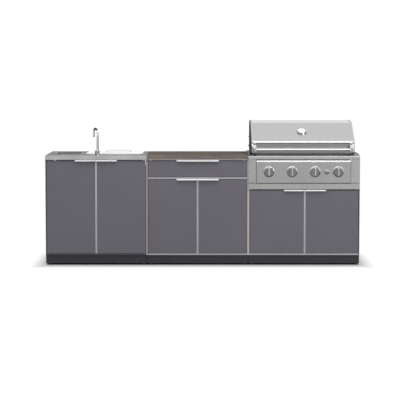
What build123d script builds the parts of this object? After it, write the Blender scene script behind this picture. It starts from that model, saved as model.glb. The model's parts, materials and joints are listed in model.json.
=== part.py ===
"""Outdoor kitchen row: a sink cabinet, a drawer cabinet and a grill cabinet, bolted side by side.

Millimetres. +Z is up and -Y is the front. The origin is on the floor, under the middle of the
row's outer box. Depths are measured backwards from the front edge of the counters.
"""
from build123d import *
from collections import namedtuple
import os

# ---------------------------------------------------------------- the row
cabinet_width = 813.0
grill_cabinet_width = 893.0
counter_depth = 610.0
seam = 0.5  # between neighbouring cabinets
seat_gap = 0.3  # between pieces of different bodies, or that must stay separate
pin_fit = 0.05  # radial running clearance
edge_share = 0.25  # small rounds and chamfers, as a share of the thickness they soften

# ---------------------------------------------------------------- carcass
side_thickness = 8.0
back_thickness = 3.0
back_inset = 2.0
service_gap = 80.0  # open height above each back panel
front_setback = 12.0  # doors and side edges behind the counter edge
floor_bar_depth = 24.0
floor_bar_height = 11.0
floor_plate = 3.0
foot_radius = 20.0
foot_height = 12.0
foot_stem_radius = 5.0
foot_inset = 26.0
foot_setback = 44.0
skirt_height = 68.0
skirt_plate = 2.0
skirt_inset = 1.0
skirt_lift = 1.0
skirt_setback = 8.0
rail_depth = 30.0
rear_rail_height = 8.0
shelf_z = 388.0
shelf_plate = 3.0
shelf_lip = 24.0
bolt_radius = 4.0
bolt_hole_radius = 4.2
bolt_front_depth = 80.0
bolt_pitch_depth = 450.0
bolt_low_z = 150.0
bolt_pitch_z = 400.0
bolt_head_radius = 6.5
bolt_head_height = 5.0

# ---------------------------------------------------------------- heights
sink_counter_bottom = 847.0
sink_counter_thickness = 35.0
sink_rail_height = 3.0
middle_counter_bottom = 852.0
middle_counter_thickness = 30.0
middle_rail_height = 8.0
divider_bottom = 693.0
divider_height = 12.0
grill_rail_bottom = 610.0
grill_rail_height = 44.0
ledge_bottom = 850.0
ledge_height = 26.0
deck_rise = 14.0
deck_sheet = 3.0
deck_slope_end = 105.0
deck_groove_start = 10.0
deck_groove_width = 5.0
deck_groove_cut = 6.0
deck_edge_round = 2.5
deck_hole_gap = 2.0

# ---------------------------------------------------------------- doors, drawer and pulls
door_thickness = 20.0
door_side_gap = 3.0
door_meeting_gap = 3.0
grill_meeting_shift = 6.0  # the grill's doors meet right of its cabinet's centre
door_bottom_gap = 2.0
door_top_gap = 4.0  # over the drawer front and the doors under it
sink_door_top_gap = 3.2
grill_door_top_gap = 8.0
door_edge_round = 1.0
door_border = 20.0
door_skin = 1.5
edge_strip_width = 4.0
edge_groove = 0.8
pivot_inset = 12.0
pivot_setback = 8.0
pin_radius = 4.0
pin_engagement = 15.0
pin_root = 8.0
pin_end_room = 1.0
pull_length = 166.0
drawer_pull_length = 337.0
pull_plate = 2.5
pull_reach = 20.0
pull_grip = 16.0
pull_lip = 8.5
drawer_box_depth = 488.0
drawer_box_height = 103.0
drawer_box_wall = 3.0
drawer_box_lift = 7.0
runner_width = 13.7
runner_height = 45.0
runner_length = 470.0
runner_lift = 30.0
runner_start = 60.0

# ---------------------------------------------------------------- sink, ice bin and tap
counter_sheet = 2.0
counter_round = 3.0
bowl_inset = 167.5  # from the cabinet's left edge to the bowl's centre
bowl_width = 195.0
bowl_length = 260.0
bowl_height = 150.0
bowl_start = 190.0
well_gap = 61.5  # between the bowl and the bin
bin_length = 291.0
bin_height = 225.0
bin_start = 167.0
bin_side_margin = 48.5  # from the bin to the cabinet's right edge
well_wall = 1.5
well_corner = 28.0
well_foot_round = 15.0
well_flange = 10.0
well_clearance = 0.5
lid_margin = 10.0
lid_thickness = 7.2
lid_plug_height = 10.0
lid_plug_inset = 5.0
handle_base_width = 219.0
handle_top_width = 182.0
handle_height = 19.0
handle_bar_height = 7.0
handle_depth = 28.0
handle_shift = 25.0
groove_count = 4
groove_pitch = 11.0
groove_width = 5.0
groove_length = 120.0
groove_cut = 1.4
drain_radius = 19.05
drain_wall = 1.5
drain_seat_radius = 28.0
drain_length = 90.0
drain_nut_radius = 30.0
drain_nut_height = 10.0
strainer_radius = 24.0
strainer_cup_radius = 14.0
strainer_cup_height = 12.0
strainer_knob_radius = 5.0
tap_shift = 8.0  # right of the cabinet's centre
tap_depth = 65.0
tap_body_radius = 20.0
tap_body_height = 40.0
tap_flange_radius = 24.0
tap_flange_height = 4.0
tap_shank_radius = 10.48
tap_shank_length = 90.0
tap_hole_radius = 14.0
tap_nut_radius = 18.0
tap_nut_height = 8.0
spout_plug_radius = 9.0
spout_plug_length = 20.0
spout_column_radius = 10.0
spout_column_height = 118.0
spout_taper = 12.0
spout_tube_radius = 8.0
spout_arch_radius = 40.0
spout_drop = 27.0
spout_heading = 115.0  # degrees from +X, seen from above
lever_z_lift = 22.0
lever_stub_radius = 9.0
lever_stub_reach = 28.0
lever_pin_radius = 5.0
lever_hub_radius = 10.0
lever_hub_width = 10.0
lever_arm_radius = 3.5
lever_arm_length = 48.0
lever_ball_radius = 5.0

# ---------------------------------------------------------------- grill front
front_face_setback = 4.0
front_frame_depth = 24.0
front_sheet = 2.0
panel_width = 753.0
frame_joint = 1.5  # above and below the stiles
panel_gap = 3.0
panel_stop = 15.0  # height of the upstand behind the panel's lower edge
panel_top_gap = 8.0
bullnose_radius = 8.0
knob_rise = 97.0  # above the rail under the control panel
knob_pitch = 185.0
knob_count = 4
knob_skirt_radius = 33.0
knob_skirt_depth = 10.0
knob_back_gap = 6.0
knob_grip_width = 15.0
knob_grip_height = 60.0
knob_grip_depth = 28.0
knob_grip_taper = 4.0  # degrees
bezel_radius = 42.5
bezel_bore_radius = 36.0
bezel_depth = 10.0
bezel_round = 0.45  # of the ring's width, on both front edges
stem_radius = 4.0
stem_hole_radius = 6.0
stem_in_knob = 23.5
stem_bore_spare = 0.5
stem_in_valve = 40.0
stem_end_room = 6.0
button_radius = 12.0
button_bezel_radius = 20.0
button_bezel_bore = 12.5
button_bezel_depth = 8.0
button_proud = 5.0
button_travel = 3.0
button_shaft_radius = 6.0
button_shaft_length = 24.0

# ---------------------------------------------------------------- grill inside
grill_shift = -5.0  # of the grill itself from the middle of its cabinet
valve_radius = 15.0
manifold_depth = 75.0
manifold_radius = 11.0
manifold_overhang = 51.0
nozzle_radius = 5.0
nozzle_length = 36.0
inlet_radius = 10.67
inlet_drop = 71.0
inlet_thread = 30.0
firebox_width = 770.0
firebox_inset = 20.0  # behind the hood's front
firebox_length = 442.0
firebox_wall = 3.0
firebox_height = 198.0
firebox_flange = 14.0
firebox_flange_thickness = 2.0
ledge_width = 12.0
grate_drop = 22.0  # of the grates' seat below the deck
tamer_drop = 68.0  # of the tamers' seat below the grates'
tray_drop = 37.0  # of the tray's seat below the firebox
tray_lip = 15.0
tray_height = 33.0
tray_wall = 2.0
tray_gap = 3.0
burner_radius = 13.0
burner_wall = 2.0
burner_mouth = 40.0
burner_lead = 18.0  # in front of the firebox
burner_spare = 32.0  # behind the burner, inside the firebox
tamer_width = 104.0
tamer_height = 38.0
tamer_sheet = 2.0
grate_count = 3
grate_gap = 2.0
grate_height = 10.0
grate_bar = 6.0
grate_bars = 17
rack_rise = 95.0  # above the deck
rack_width = 88.0
rack_inset = 24.0  # in front of the firebox's back
rack_rod_radius = 2.5
rack_cross_radius = 1.5
rack_cross_count = 39

# ---------------------------------------------------------------- hood
hood_half_width = 418.0
cap_thickness = 17.0
cap_lip = 3.0
cap_round = 5.0
hood_sheet = 2.5
hood_front = 110.0
hood_lift = 4.0  # above the deck
hood_front_height = 96.0
hood_face_depth = 240.0
hood_face_height = 143.0
hood_top_depth = 150.0
hood_top_rise = 15.0
hood_heel_drop = 43.0
hood_vent_height = 56.0  # open at the back, under the sheet
hood_brow_radius = 12.0
hood_bend_radius = 40.0
hood_fold_radius = 6.0
heel_cut_depth = 30.0
heel_cut_height = 26.0
cap_bolt_inset = 25.0
cap_bolt_rise = 75.0  # above the hinge
cap_bolt_radius = 5.0
cap_bolt_head = 4.0
hinge_inset = 18.0  # in front of the hood's back
hinge_rise = 42.0  # above the deck
hinge_radius = 5.0
hinge_ear_half = 13.0
hinge_head_radius = 8.0
hinge_head = 5.0
trim_radius = 10.0
trim_setback = 2.0
trim_drop = 12.0
handle_bar_radius = 8.5
handle_bar_reach = 72.0  # in front of the hood
handle_bar_rise = 36.0  # above the deck
bracket_width = 40.0
bracket_foot_width = 16.0
bracket_inset = 2.0
bracket_drop = 14.0  # below the handle bar's centre
bracket_wall = 40.0
bracket_lead = 10.0  # in front of the bar's centre
bracket_nose_height = 26.0
bracket_nose_depth = 22.0
gauge_radius = 40.0
gauge_height = 14.0
gauge_window_radius = 34.0
gauge_window_depth = 3.0
gauge_probe_radius = 4.0
gauge_probe_length = 60.0
gauge_place = 0.51  # along the hood's front face, from its fold to its brow

# ---------------------------------------------------------------- worked out
row_left = -(2 * cabinet_width + grill_cabinet_width) / 2
sink_left = row_left
middle_left = sink_left + cabinet_width
grill_left = middle_left + cabinet_width
row_right = grill_left + grill_cabinet_width
grill_centre = (grill_left + row_right) / 2 + grill_shift

knob_reach = knob_back_gap + knob_skirt_depth + knob_grip_depth
front_y = (knob_reach - counter_depth) / 2  # the counters' front edge

skirt_top = foot_height + skirt_height
floor_top = skirt_top + floor_bar_height
door_back = front_setback + door_thickness
carcass_back = counter_depth - back_inset
back_panel_front = carcass_back - back_thickness
sink_counter_top = sink_counter_bottom + sink_counter_thickness
sink_rail_bottom = sink_counter_bottom - sink_rail_height
middle_rail_bottom = middle_counter_bottom - middle_rail_height
divider_top = divider_bottom + divider_height
grill_rail_top = grill_rail_bottom + grill_rail_height
panel_top = ledge_bottom - panel_top_gap
pivot_depth = front_setback + pivot_setback
knob_z = grill_rail_top + knob_rise
ledge_top = ledge_bottom + ledge_height
deck_top = ledge_top + deck_rise

tap_x = (sink_left + middle_left) / 2 + tap_shift
bowl_centre = sink_left + bowl_inset
bin_left = bowl_centre + bowl_width / 2 + well_gap
bin_right = middle_left - bin_side_margin
bin_centre = (bin_left + bin_right) / 2
bin_width = bin_right - bin_left

firebox_front = hood_front + firebox_inset
firebox_back = firebox_front + firebox_length
firebox_bottom = deck_top - firebox_height
grate_seat_z = deck_top - grate_drop
tamer_seat_z = grate_seat_z - tamer_drop
tray_seat_z = firebox_bottom - tray_drop
rack_z = deck_top + rack_rise

hinge_depth = firebox_back
hinge_z = deck_top + hinge_rise
hood_back = hinge_depth + hinge_inset
hood_bottom = deck_top + hood_lift
hood_fold_z = hood_bottom + hood_front_height
hood_brow_depth = hood_front + hood_face_depth
hood_brow_z = hood_fold_z + hood_face_height
hood_crown_depth = hood_brow_depth + hood_top_depth
hood_crown_z = hood_brow_z + hood_top_rise
hood_heel_z = hood_crown_z - hood_heel_drop

Cabinet = namedtuple("Cabinet", "name left right top door_ceiling door_top pin_root meeting_shift")
cabinets = [
    Cabinet("sink", sink_left + seam / 2, middle_left - seam / 2, sink_counter_bottom,
            sink_rail_bottom, sink_rail_bottom - sink_door_top_gap, sink_rail_height, 0.0),
    Cabinet("middle", middle_left + seam / 2, grill_left - seam / 2, middle_counter_bottom,
            divider_bottom, divider_bottom - door_top_gap, pin_root, 0.0),
    Cabinet("grill", grill_left + seam / 2, row_right - seam / 2, ledge_bottom,
            grill_rail_bottom, grill_rail_bottom - grill_door_top_gap, front_sheet, grill_meeting_shift),
]
sink_cabinet, middle_cabinet, grill_cabinet = cabinets
knob_places = [grill_centre + (i - (knob_count - 1) / 2) * knob_pitch for i in range(knob_count)]
button_x = (knob_places[-1] + knob_places[-2]) / 2


# ---------------------------------------------------------------- helpers
def block(x, depth, z, mode=Mode.ADD):
    """Add or cut a box, given by its ranges along the row, backwards and upwards."""
    with Locations((sum(x) / 2, front_y + sum(depth) / 2, sum(z) / 2)):
        Box(x[1] - x[0], depth[1] - depth[0], z[1] - z[0], mode=mode)


def rod(radius, start, end, mode=Mode.ADD):
    """Add or cut a round bar between two points, each given as x, depth and z."""
    low = Vector(start[0], front_y + start[1], start[2])
    high = Vector(end[0], front_y + end[1], end[2])
    with Locations(Plane(origin=(low + high) / 2, z_dir=(high - low).normalized())):
        Cylinder(radius, (high - low).length, mode=mode)


def side_plane(x):
    """The plane across the row at x, whose first axis runs backwards from the counter edge."""
    return Plane(origin=(x, front_y, 0), x_dir=(0, 1, 0), z_dir=(1, 0, 0))


def front_plane(depth):
    """The upright plane along the row at a depth, drawn as seen from the front."""
    return Plane(origin=(0, front_y + depth, 0), x_dir=(1, 0, 0), z_dir=(0, -1, 0))


def rounded_slab(centre, start, size, corner, z, mode=Mode.ADD):
    """Add or cut a slab with rounded corners; size is its width and its length."""
    with BuildSketch(Plane.XY.offset(z[0])) as footprint:
        with Locations((centre, front_y + start + size[1] / 2)):
            RectangleRounded(size[0], size[1], corner)
    extrude(footprint.sketch, amount=z[1] - z[0], mode=mode)


def save(piece, name):
    """Label a finished piece and write it to its file."""
    piece.part.label = name
    export_step(piece.part, f"parts/{name}.step")


os.makedirs("parts", exist_ok=True)


# ---------------------------------------------------------------- side panels and their bolts
bolt_spots = [(bolt_front_depth + i * bolt_pitch_depth, bolt_low_z + k * bolt_pitch_z)
              for i in (0, 1) for k in (0, 1)]
frame_back = front_face_setback + front_frame_depth

with BuildPart() as side_panels:
    for cabinet in cabinets:
        for x in ((cabinet.left, cabinet.left + side_thickness),
                  (cabinet.right - side_thickness, cabinet.right)):
            block(x, (front_setback, carcass_back), (skirt_top, cabinet.top))
            if cabinet is grill_cabinet:
                block(x, (front_setback, frame_back + seam), (grill_rail_bottom, cabinet.top),
                      mode=Mode.SUBTRACT)
            for depth, z in bolt_spots:
                rod(bolt_hole_radius, (x[0], depth, z), (x[1], depth, z), mode=Mode.SUBTRACT)
save(side_panels, "side_panels")

with BuildPart() as joining_bolts:
    for joint in (middle_left, grill_left):
        grip = seam / 2 + side_thickness
        for depth, z in bolt_spots:
            rod(bolt_radius, (joint - grip, depth, z), (joint + grip, depth, z))
            for side in (-1, 1):
                face = joint + side * grip
                rod(bolt_head_radius, (face, depth, z), (face + side * bolt_head_height, depth, z))
save(joining_bolts, "joining_bolts")


# ---------------------------------------------------------------- floors, backs, skirts and feet
def inside(cabinet):
    """The range between a cabinet's side panels."""
    return cabinet.left + side_thickness, cabinet.right - side_thickness


def door_pivots(cabinet):
    """The x of the left and the right door's pivot."""
    low, high = inside(cabinet)
    reach = door_side_gap + pivot_inset
    return low + reach, high - reach


with BuildPart() as floor_panels:
    for cabinet in cabinets:
        bar_back = front_setback + floor_bar_depth
        block(inside(cabinet), (front_setback, bar_back), (skirt_top, floor_top))
        block(inside(cabinet), (bar_back, back_panel_front), (floor_top - floor_plate, floor_top))
        for x in door_pivots(cabinet):
            rod(pin_radius + pin_fit, (x, pivot_depth, floor_top - pin_root), (x, pivot_depth, floor_top),
                mode=Mode.SUBTRACT)
save(floor_panels, "floor_panels")

with BuildPart() as back_panels:
    for cabinet in cabinets:
        block(inside(cabinet), (back_panel_front, carcass_back), (skirt_top, cabinet.top - service_gap))
save(back_panels, "back_panels")

with BuildPart() as skirts:
    skirt_z = (foot_height + skirt_lift, skirt_top)
    skirt_front = front_setback + skirt_setback
    skirt_face = (skirt_front, skirt_front + skirt_plate)
    skirt_sides = (skirt_face[1] + seat_gap, carcass_back - skirt_plate - seat_gap)
    for cabinet in cabinets:
        low, high = cabinet.left + skirt_inset, cabinet.right - skirt_inset
        block((low, high), skirt_face, skirt_z)
        block((low, low + skirt_plate), skirt_sides, skirt_z)
        block((high - skirt_plate, high), skirt_sides, skirt_z)
        block((low, high), (carcass_back - skirt_plate, carcass_back), skirt_z)
save(skirts, "skirts")

with BuildPart() as levelling_feet:
    for cabinet in cabinets:
        for x in (cabinet.left + foot_inset, cabinet.right - foot_inset):
            for depth in (foot_setback, counter_depth - foot_setback):
                rod(foot_radius, (x, depth, 0), (x, depth, foot_height))
                rod(foot_stem_radius, (x, depth, foot_height), (x, depth, floor_top - floor_plate))
save(levelling_feet, "levelling_feet")


# ---------------------------------------------------------------- rails and shelf
with BuildPart() as stretcher_rails:
    rail_range = (front_setback, front_setback + rail_depth)
    rear_range = (back_panel_front - rail_depth, back_panel_front)
    block(inside(sink_cabinet), (front_setback + skirt_plate, rail_range[1]),
          (sink_rail_bottom, sink_counter_bottom))
    block(inside(middle_cabinet), rail_range, (middle_rail_bottom, middle_counter_bottom))
    block(inside(middle_cabinet), rail_range, (divider_bottom, divider_top))
    for cabinet in (sink_cabinet, middle_cabinet):
        block(inside(cabinet), rear_range, (cabinet.top - rear_rail_height, cabinet.top))
    for cabinet in (sink_cabinet, middle_cabinet):
        for x in door_pivots(cabinet):
            rod(pin_radius + pin_fit, (x, pivot_depth, cabinet.door_ceiling),
                (x, pivot_depth, cabinet.door_ceiling + cabinet.pin_root), mode=Mode.SUBTRACT)
save(stretcher_rails, "stretcher_rails")

with BuildPart() as shelf:
    low, high = inside(middle_cabinet)
    shelf_x = (low + seat_gap, high - seat_gap)
    shelf_front = door_back + pivot_inset
    block(shelf_x, (shelf_front, back_panel_front), (shelf_z, shelf_z + shelf_plate))
    block(shelf_x, (shelf_front, shelf_front + shelf_plate), (shelf_z - shelf_lip, shelf_z))
    for edge in ((shelf_x[0], shelf_x[0] + shelf_plate), (shelf_x[1] - shelf_plate, shelf_x[1])):
        block(edge, (shelf_front, back_panel_front), (shelf_z - shelf_lip, shelf_z))
save(shelf, "shelf")


# ---------------------------------------------------------------- doors, pulls and hinge pins
door_bottom = floor_top + door_bottom_gap
bore_depth = pin_engagement + pin_end_room


def make_pull(name, x, top):
    """A bent strip on the top edge of a door or drawer front, over the range x."""
    nose = front_setback - pull_reach
    rise = top + pull_plate
    with BuildPart() as pull:
        with BuildSketch(side_plane(x[0])):
            Polygon((front_setback + pull_grip, top), (front_setback + pull_grip, rise), (nose, rise),
                    (nose, rise - pull_lip), (nose + pull_plate, rise - pull_lip), (nose + pull_plate, top),
                    align=None)
        extrude(amount=x[1] - x[0])
        bends = pull.edges().filter_by(Axis.X).group_by(Axis.Y)[0]
        fillet(bends, edge_share * pull_plate)
    save(pull, name)


def make_door(cabinet, side, hand):
    """One door and its pull; hand is -1 for the left door and 1 for the right one."""
    pivot = door_pivots(cabinet)[0 if hand < 0 else 1]
    outer = pivot + hand * pivot_inset
    meeting = (cabinet.left + cabinet.right) / 2 + cabinet.meeting_shift
    free = meeting + hand * door_meeting_gap / 2
    top = cabinet.door_top
    groove = free + hand * edge_strip_width
    inward = -hand
    with BuildPart() as door:
        block(sorted((outer, free)), (front_setback, door_back), (door_bottom, top))
        fillet(door.faces().sort_by(Axis.Y)[0].edges(), door_edge_round)
        block(sorted((outer + inward * door_border, free - inward * door_border)),
              (front_setback + door_skin, door_back - door_skin),
              (door_bottom + door_border, top - door_border), mode=Mode.SUBTRACT)
        block(sorted((groove, groove + hand * edge_groove)), (front_setback, front_setback + edge_groove),
              (door_bottom, top), mode=Mode.SUBTRACT)
        for end, step in ((door_bottom, bore_depth), (top, -bore_depth)):
            rod(pin_radius + pin_fit, (pivot, pivot_depth, end), (pivot, pivot_depth, end + step),
                mode=Mode.SUBTRACT)
    save(door, f"{cabinet.name}_{side}_door")
    make_pull(f"{cabinet.name}_{side}_pull", sorted((free, free + hand * pull_length)), top)


for cabinet in cabinets:
    make_door(cabinet, "left", -1)
    make_door(cabinet, "right", 1)

with BuildPart() as hinge_pins:
    for cabinet in cabinets:
        for x in door_pivots(cabinet):
            rod(pin_radius, (x, pivot_depth, floor_top - pin_root),
                (x, pivot_depth, door_bottom + pin_engagement))
            rod(pin_radius, (x, pivot_depth, cabinet.door_top - pin_engagement),
                (x, pivot_depth, cabinet.door_ceiling + cabinet.pin_root))
    for side in (-1, 1):
        ear = grill_centre + side * (firebox_width / 2 - firebox_wall)
        head = grill_centre + side * (hood_half_width + seat_gap)
        rod(hinge_radius, (ear, hinge_depth, hinge_z), (head, hinge_depth, hinge_z))
        rod(hinge_head_radius, (head, hinge_depth, hinge_z),
            (head + side * hinge_head, hinge_depth, hinge_z))
save(hinge_pins, "hinge_pins")


# ---------------------------------------------------------------- drawer
low, high = inside(middle_cabinet)
middle_centre = (low + high) / 2
drawer_bottom = divider_top + door_side_gap
drawer_top = middle_rail_bottom - door_top_gap
box_z = (drawer_bottom + drawer_box_lift, drawer_bottom + drawer_box_lift + drawer_box_height)
box_x = (low + runner_width + seat_gap, high - runner_width - seat_gap)

with BuildPart() as drawer_front:
    drawer_x = (low + door_side_gap, high - door_side_gap)
    block(drawer_x, (front_setback, door_back), (drawer_bottom, drawer_top))
    fillet(drawer_front.faces().sort_by(Axis.Y)[0].edges(), door_edge_round)
    block((drawer_x[0] + door_border, drawer_x[1] - door_border),
          (front_setback + door_skin, door_back - door_skin),
          (drawer_bottom + door_border, drawer_top - door_border), mode=Mode.SUBTRACT)
save(drawer_front, "drawer_front")

with BuildPart() as drawer_box:
    block(box_x, (door_back, door_back + drawer_box_depth), box_z)
    block((box_x[0] + drawer_box_wall, box_x[1] - drawer_box_wall),
          (door_back + drawer_box_wall, door_back + drawer_box_depth - drawer_box_wall),
          (box_z[0] + drawer_box_wall, box_z[1]), mode=Mode.SUBTRACT)
save(drawer_box, "drawer_box")

make_pull("drawer_pull", (middle_centre - drawer_pull_length / 2, middle_centre + drawer_pull_length / 2),
          drawer_top)

with BuildPart() as drawer_runners:
    runner_z = (box_z[0] + runner_lift, box_z[0] + runner_lift + runner_height)
    for x in ((low, low + runner_width), (high - runner_width, high)):
        block(x, (runner_start, runner_start + runner_length), runner_z)
save(drawer_runners, "drawer_runners")


# ---------------------------------------------------------------- counters

def seat_cut(centre, start, width, length):
    """Cut the hole that a drop-in well goes through."""
    spare = well_wall + well_clearance
    rounded_slab(centre, start - spare, (width + 2 * spare, length + 2 * spare), well_corner + spare,
                 (sink_counter_bottom, sink_counter_top), mode=Mode.SUBTRACT)


def cut_counter_holes():
    """Cut what both layers of the sink counter let through: the bowl, the bin and the tap."""
    seat_cut(bowl_centre, bowl_start, bowl_width, bowl_length)
    seat_cut(bin_centre, bin_start, bin_width, bin_length)
    rod(tap_hole_radius, (tap_x, tap_depth, sink_counter_bottom), (tap_x, tap_depth, sink_counter_top),
        mode=Mode.SUBTRACT)


core_x = (sink_cabinet.left + counter_sheet, sink_cabinet.right - counter_sheet)
core_depth = (counter_sheet, counter_depth - counter_sheet)
core_z = (sink_counter_bottom, sink_counter_top - counter_sheet)

with BuildPart() as sink_counter:
    block((sink_cabinet.left, sink_cabinet.right), (0, counter_depth),
          (sink_counter_bottom, sink_counter_top))
    fillet(sink_counter.faces().sort_by(Axis.Z)[-1].edges(), counter_round)
    block(core_x, core_depth, core_z, mode=Mode.SUBTRACT)
    cut_counter_holes()
    groove_start = bowl_centre + bowl_width / 2 + 2 * well_flange
    for i in range(groove_count):
        rounded_slab(groove_start + i * groove_pitch, bowl_start + (bowl_length - groove_length) / 2,
                     (groove_width, groove_length), edge_share * groove_width,
                     (sink_counter_top - groove_cut, sink_counter_top), mode=Mode.SUBTRACT)
save(sink_counter, "sink_counter")

with BuildPart() as sink_counter_core:
    block(core_x, core_depth, core_z)
    cut_counter_holes()
save(sink_counter_core, "sink_counter_core")

with BuildPart() as middle_counter:
    block((middle_cabinet.left, middle_cabinet.right), (0, counter_depth),
          (middle_counter_bottom, middle_counter_bottom + middle_counter_thickness))
    fillet(middle_counter.faces().sort_by(Axis.Z)[-1].edges(), counter_round)
save(middle_counter, "middle_counter")


# ---------------------------------------------------------------- sink bowl, drain and ice bin
bowl_floor = sink_counter_top - bowl_height
bowl_middle = bowl_start + bowl_length / 2
drain_end = bowl_floor - drain_length


def make_well(name, centre, start, width, length, height, drain=False):
    """A drop-in well whose flange lies on the counter; start is the front of its mouth."""
    spare = well_wall
    rim = sink_counter_top + well_wall
    lip = well_wall + well_flange
    middle = start + length / 2
    with BuildPart() as well:
        rounded_slab(centre, start - spare, (width + 2 * spare, length + 2 * spare), well_corner + spare,
                     (rim - height - 2 * well_wall, rim))
        fillet(well.faces().sort_by(Axis.Z)[0].edges(), well_foot_round + well_wall)
        offset(amount=-well_wall, openings=well.faces().sort_by(Axis.Z)[-1])
        rounded_slab(centre, start - lip, (width + 2 * lip, length + 2 * lip), well_corner + lip,
                     (sink_counter_top, rim))
        rounded_slab(centre, start, (width, length), well_corner, (sink_counter_top, rim),
                     mode=Mode.SUBTRACT)
        if drain:
            rod(drain_radius + pin_fit, (centre, middle, drain_end),
                (centre, middle, bowl_floor + well_wall), mode=Mode.SUBTRACT)
    save(well, name)


make_well("sink_bowl", bowl_centre, bowl_start, bowl_width, bowl_length, bowl_height, drain=True)

with BuildPart() as sink_drain:
    seat_top = bowl_floor + drain_wall
    drain_nut_top = bowl_floor - well_wall - seat_gap
    rod(drain_radius, (bowl_centre, bowl_middle, drain_end), (bowl_centre, bowl_middle, bowl_floor))
    rod(drain_seat_radius, (bowl_centre, bowl_middle, bowl_floor), (bowl_centre, bowl_middle, seat_top))
    rod(drain_nut_radius, (bowl_centre, bowl_middle, drain_nut_top - drain_nut_height),
        (bowl_centre, bowl_middle, drain_nut_top))
    rod(drain_radius - drain_wall, (bowl_centre, bowl_middle, drain_end),
        (bowl_centre, bowl_middle, seat_top), mode=Mode.SUBTRACT)
    strainer_seat = seat_top + seat_gap
    rod(strainer_radius, (bowl_centre, bowl_middle, strainer_seat),
        (bowl_centre, bowl_middle, strainer_seat + drain_wall))
    rod(strainer_cup_radius, (bowl_centre, bowl_middle, strainer_seat - strainer_cup_height),
        (bowl_centre, bowl_middle, strainer_seat))
    rod(strainer_knob_radius, (bowl_centre, bowl_middle, strainer_seat),
        (bowl_centre, bowl_middle, strainer_seat + strainer_cup_height))
save(sink_drain, "sink_drain")

make_well("ice_bin", bin_centre, bin_start, bin_width, bin_length, bin_height)

lid_bottom = sink_counter_top + well_wall + seat_gap
lid_top = lid_bottom + lid_thickness
bin_middle = bin_start + bin_length / 2

with BuildPart() as bin_lid:
    rounded_slab(bin_centre, bin_start - lid_margin,
                 (bin_width + 2 * lid_margin, bin_length + 2 * lid_margin), lid_margin,
                 (lid_bottom, lid_top))
    fillet(bin_lid.faces().sort_by(Axis.Z)[-1].edges(), edge_share * lid_thickness)
    rounded_slab(bin_centre, bin_start + lid_plug_inset,
                 (bin_width - 2 * lid_plug_inset, bin_length - 2 * lid_plug_inset), well_corner,
                 (lid_bottom - lid_plug_height, lid_bottom))
save(bin_lid, "bin_lid")

with BuildPart() as lid_handle:
    handle_x = bin_centre + handle_shift
    with BuildSketch(front_plane(bin_middle + handle_depth / 2)):
        half_base, half_top = handle_base_width / 2, handle_top_width / 2
        rise = handle_height - handle_bar_height
        lean = (half_base - half_top) * rise / handle_height
        half_gap = half_base - 2 * handle_bar_height
        Polygon((handle_x - half_base, lid_top), (handle_x - half_top, lid_top + handle_height),
                (handle_x + half_top, lid_top + handle_height), (handle_x + half_base, lid_top),
                (handle_x + half_gap, lid_top), (handle_x + half_gap - lean, lid_top + rise),
                (handle_x - half_gap + lean, lid_top + rise), (handle_x - half_gap, lid_top), align=None)
    extrude(amount=handle_depth)
    fillet(lid_handle.faces().sort_by(Axis.Z)[-1].edges(), edge_share * handle_bar_height)
save(lid_handle, "lid_handle")


# ---------------------------------------------------------------- tap
body_top = sink_counter_top + tap_body_height
shank_end = sink_counter_top - tap_shank_length
lever_z = sink_counter_top + lever_z_lift
stub_end = tap_depth + lever_stub_reach
hub_range = (stub_end + seat_gap, stub_end + seat_gap + lever_hub_width)
tap_nut_top = sink_counter_bottom - seat_gap

with BuildPart() as tap_body:
    rod(tap_body_radius, (tap_x, tap_depth, sink_counter_top), (tap_x, tap_depth, body_top))
    chamfer(tap_body.faces().sort_by(Axis.Z)[-1].edges(), tap_flange_height)
    rod(tap_flange_radius, (tap_x, tap_depth, sink_counter_top),
        (tap_x, tap_depth, sink_counter_top + tap_flange_height))
    rod(lever_stub_radius, (tap_x, tap_depth, lever_z), (tap_x, stub_end, lever_z))
    rod(lever_pin_radius, (tap_x, stub_end, lever_z), (tap_x, hub_range[1], lever_z))
    rod(tap_shank_radius, (tap_x, tap_depth, shank_end), (tap_x, tap_depth, sink_counter_top))
    rod(tap_nut_radius, (tap_x, tap_depth, tap_nut_top - tap_nut_height), (tap_x, tap_depth, tap_nut_top))
    rod(spout_plug_radius + pin_fit, (tap_x, tap_depth, body_top - spout_plug_length),
        (tap_x, tap_depth, body_top), mode=Mode.SUBTRACT)
save(tap_body, "tap_body")

with BuildPart() as tap_lever:
    hub_middle = sum(hub_range) / 2
    rod(lever_hub_radius, (tap_x, hub_range[0], lever_z), (tap_x, hub_range[1], lever_z))
    rod(lever_arm_radius, (tap_x, hub_middle, lever_z), (tap_x, hub_middle, lever_z + lever_arm_length))
    with Locations((tap_x, front_y + hub_middle, lever_z + lever_arm_length)):
        Sphere(lever_ball_radius)
    rod(lever_pin_radius + pin_fit, (tap_x, hub_range[0], lever_z), (tap_x, hub_range[1], lever_z),
        mode=Mode.SUBTRACT)
save(tap_lever, "tap_lever")

spout_foot = body_top + seat_gap
column_top = spout_foot + spout_column_height
spring = column_top + spout_taper
heading = Vector(1, 0, 0).rotate(Axis.Z, spout_heading)
spout_plane = Plane(origin=(tap_x, front_y + tap_depth, 0), x_dir=heading,
                    z_dir=heading.cross(Vector(0, 0, 1)))

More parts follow.
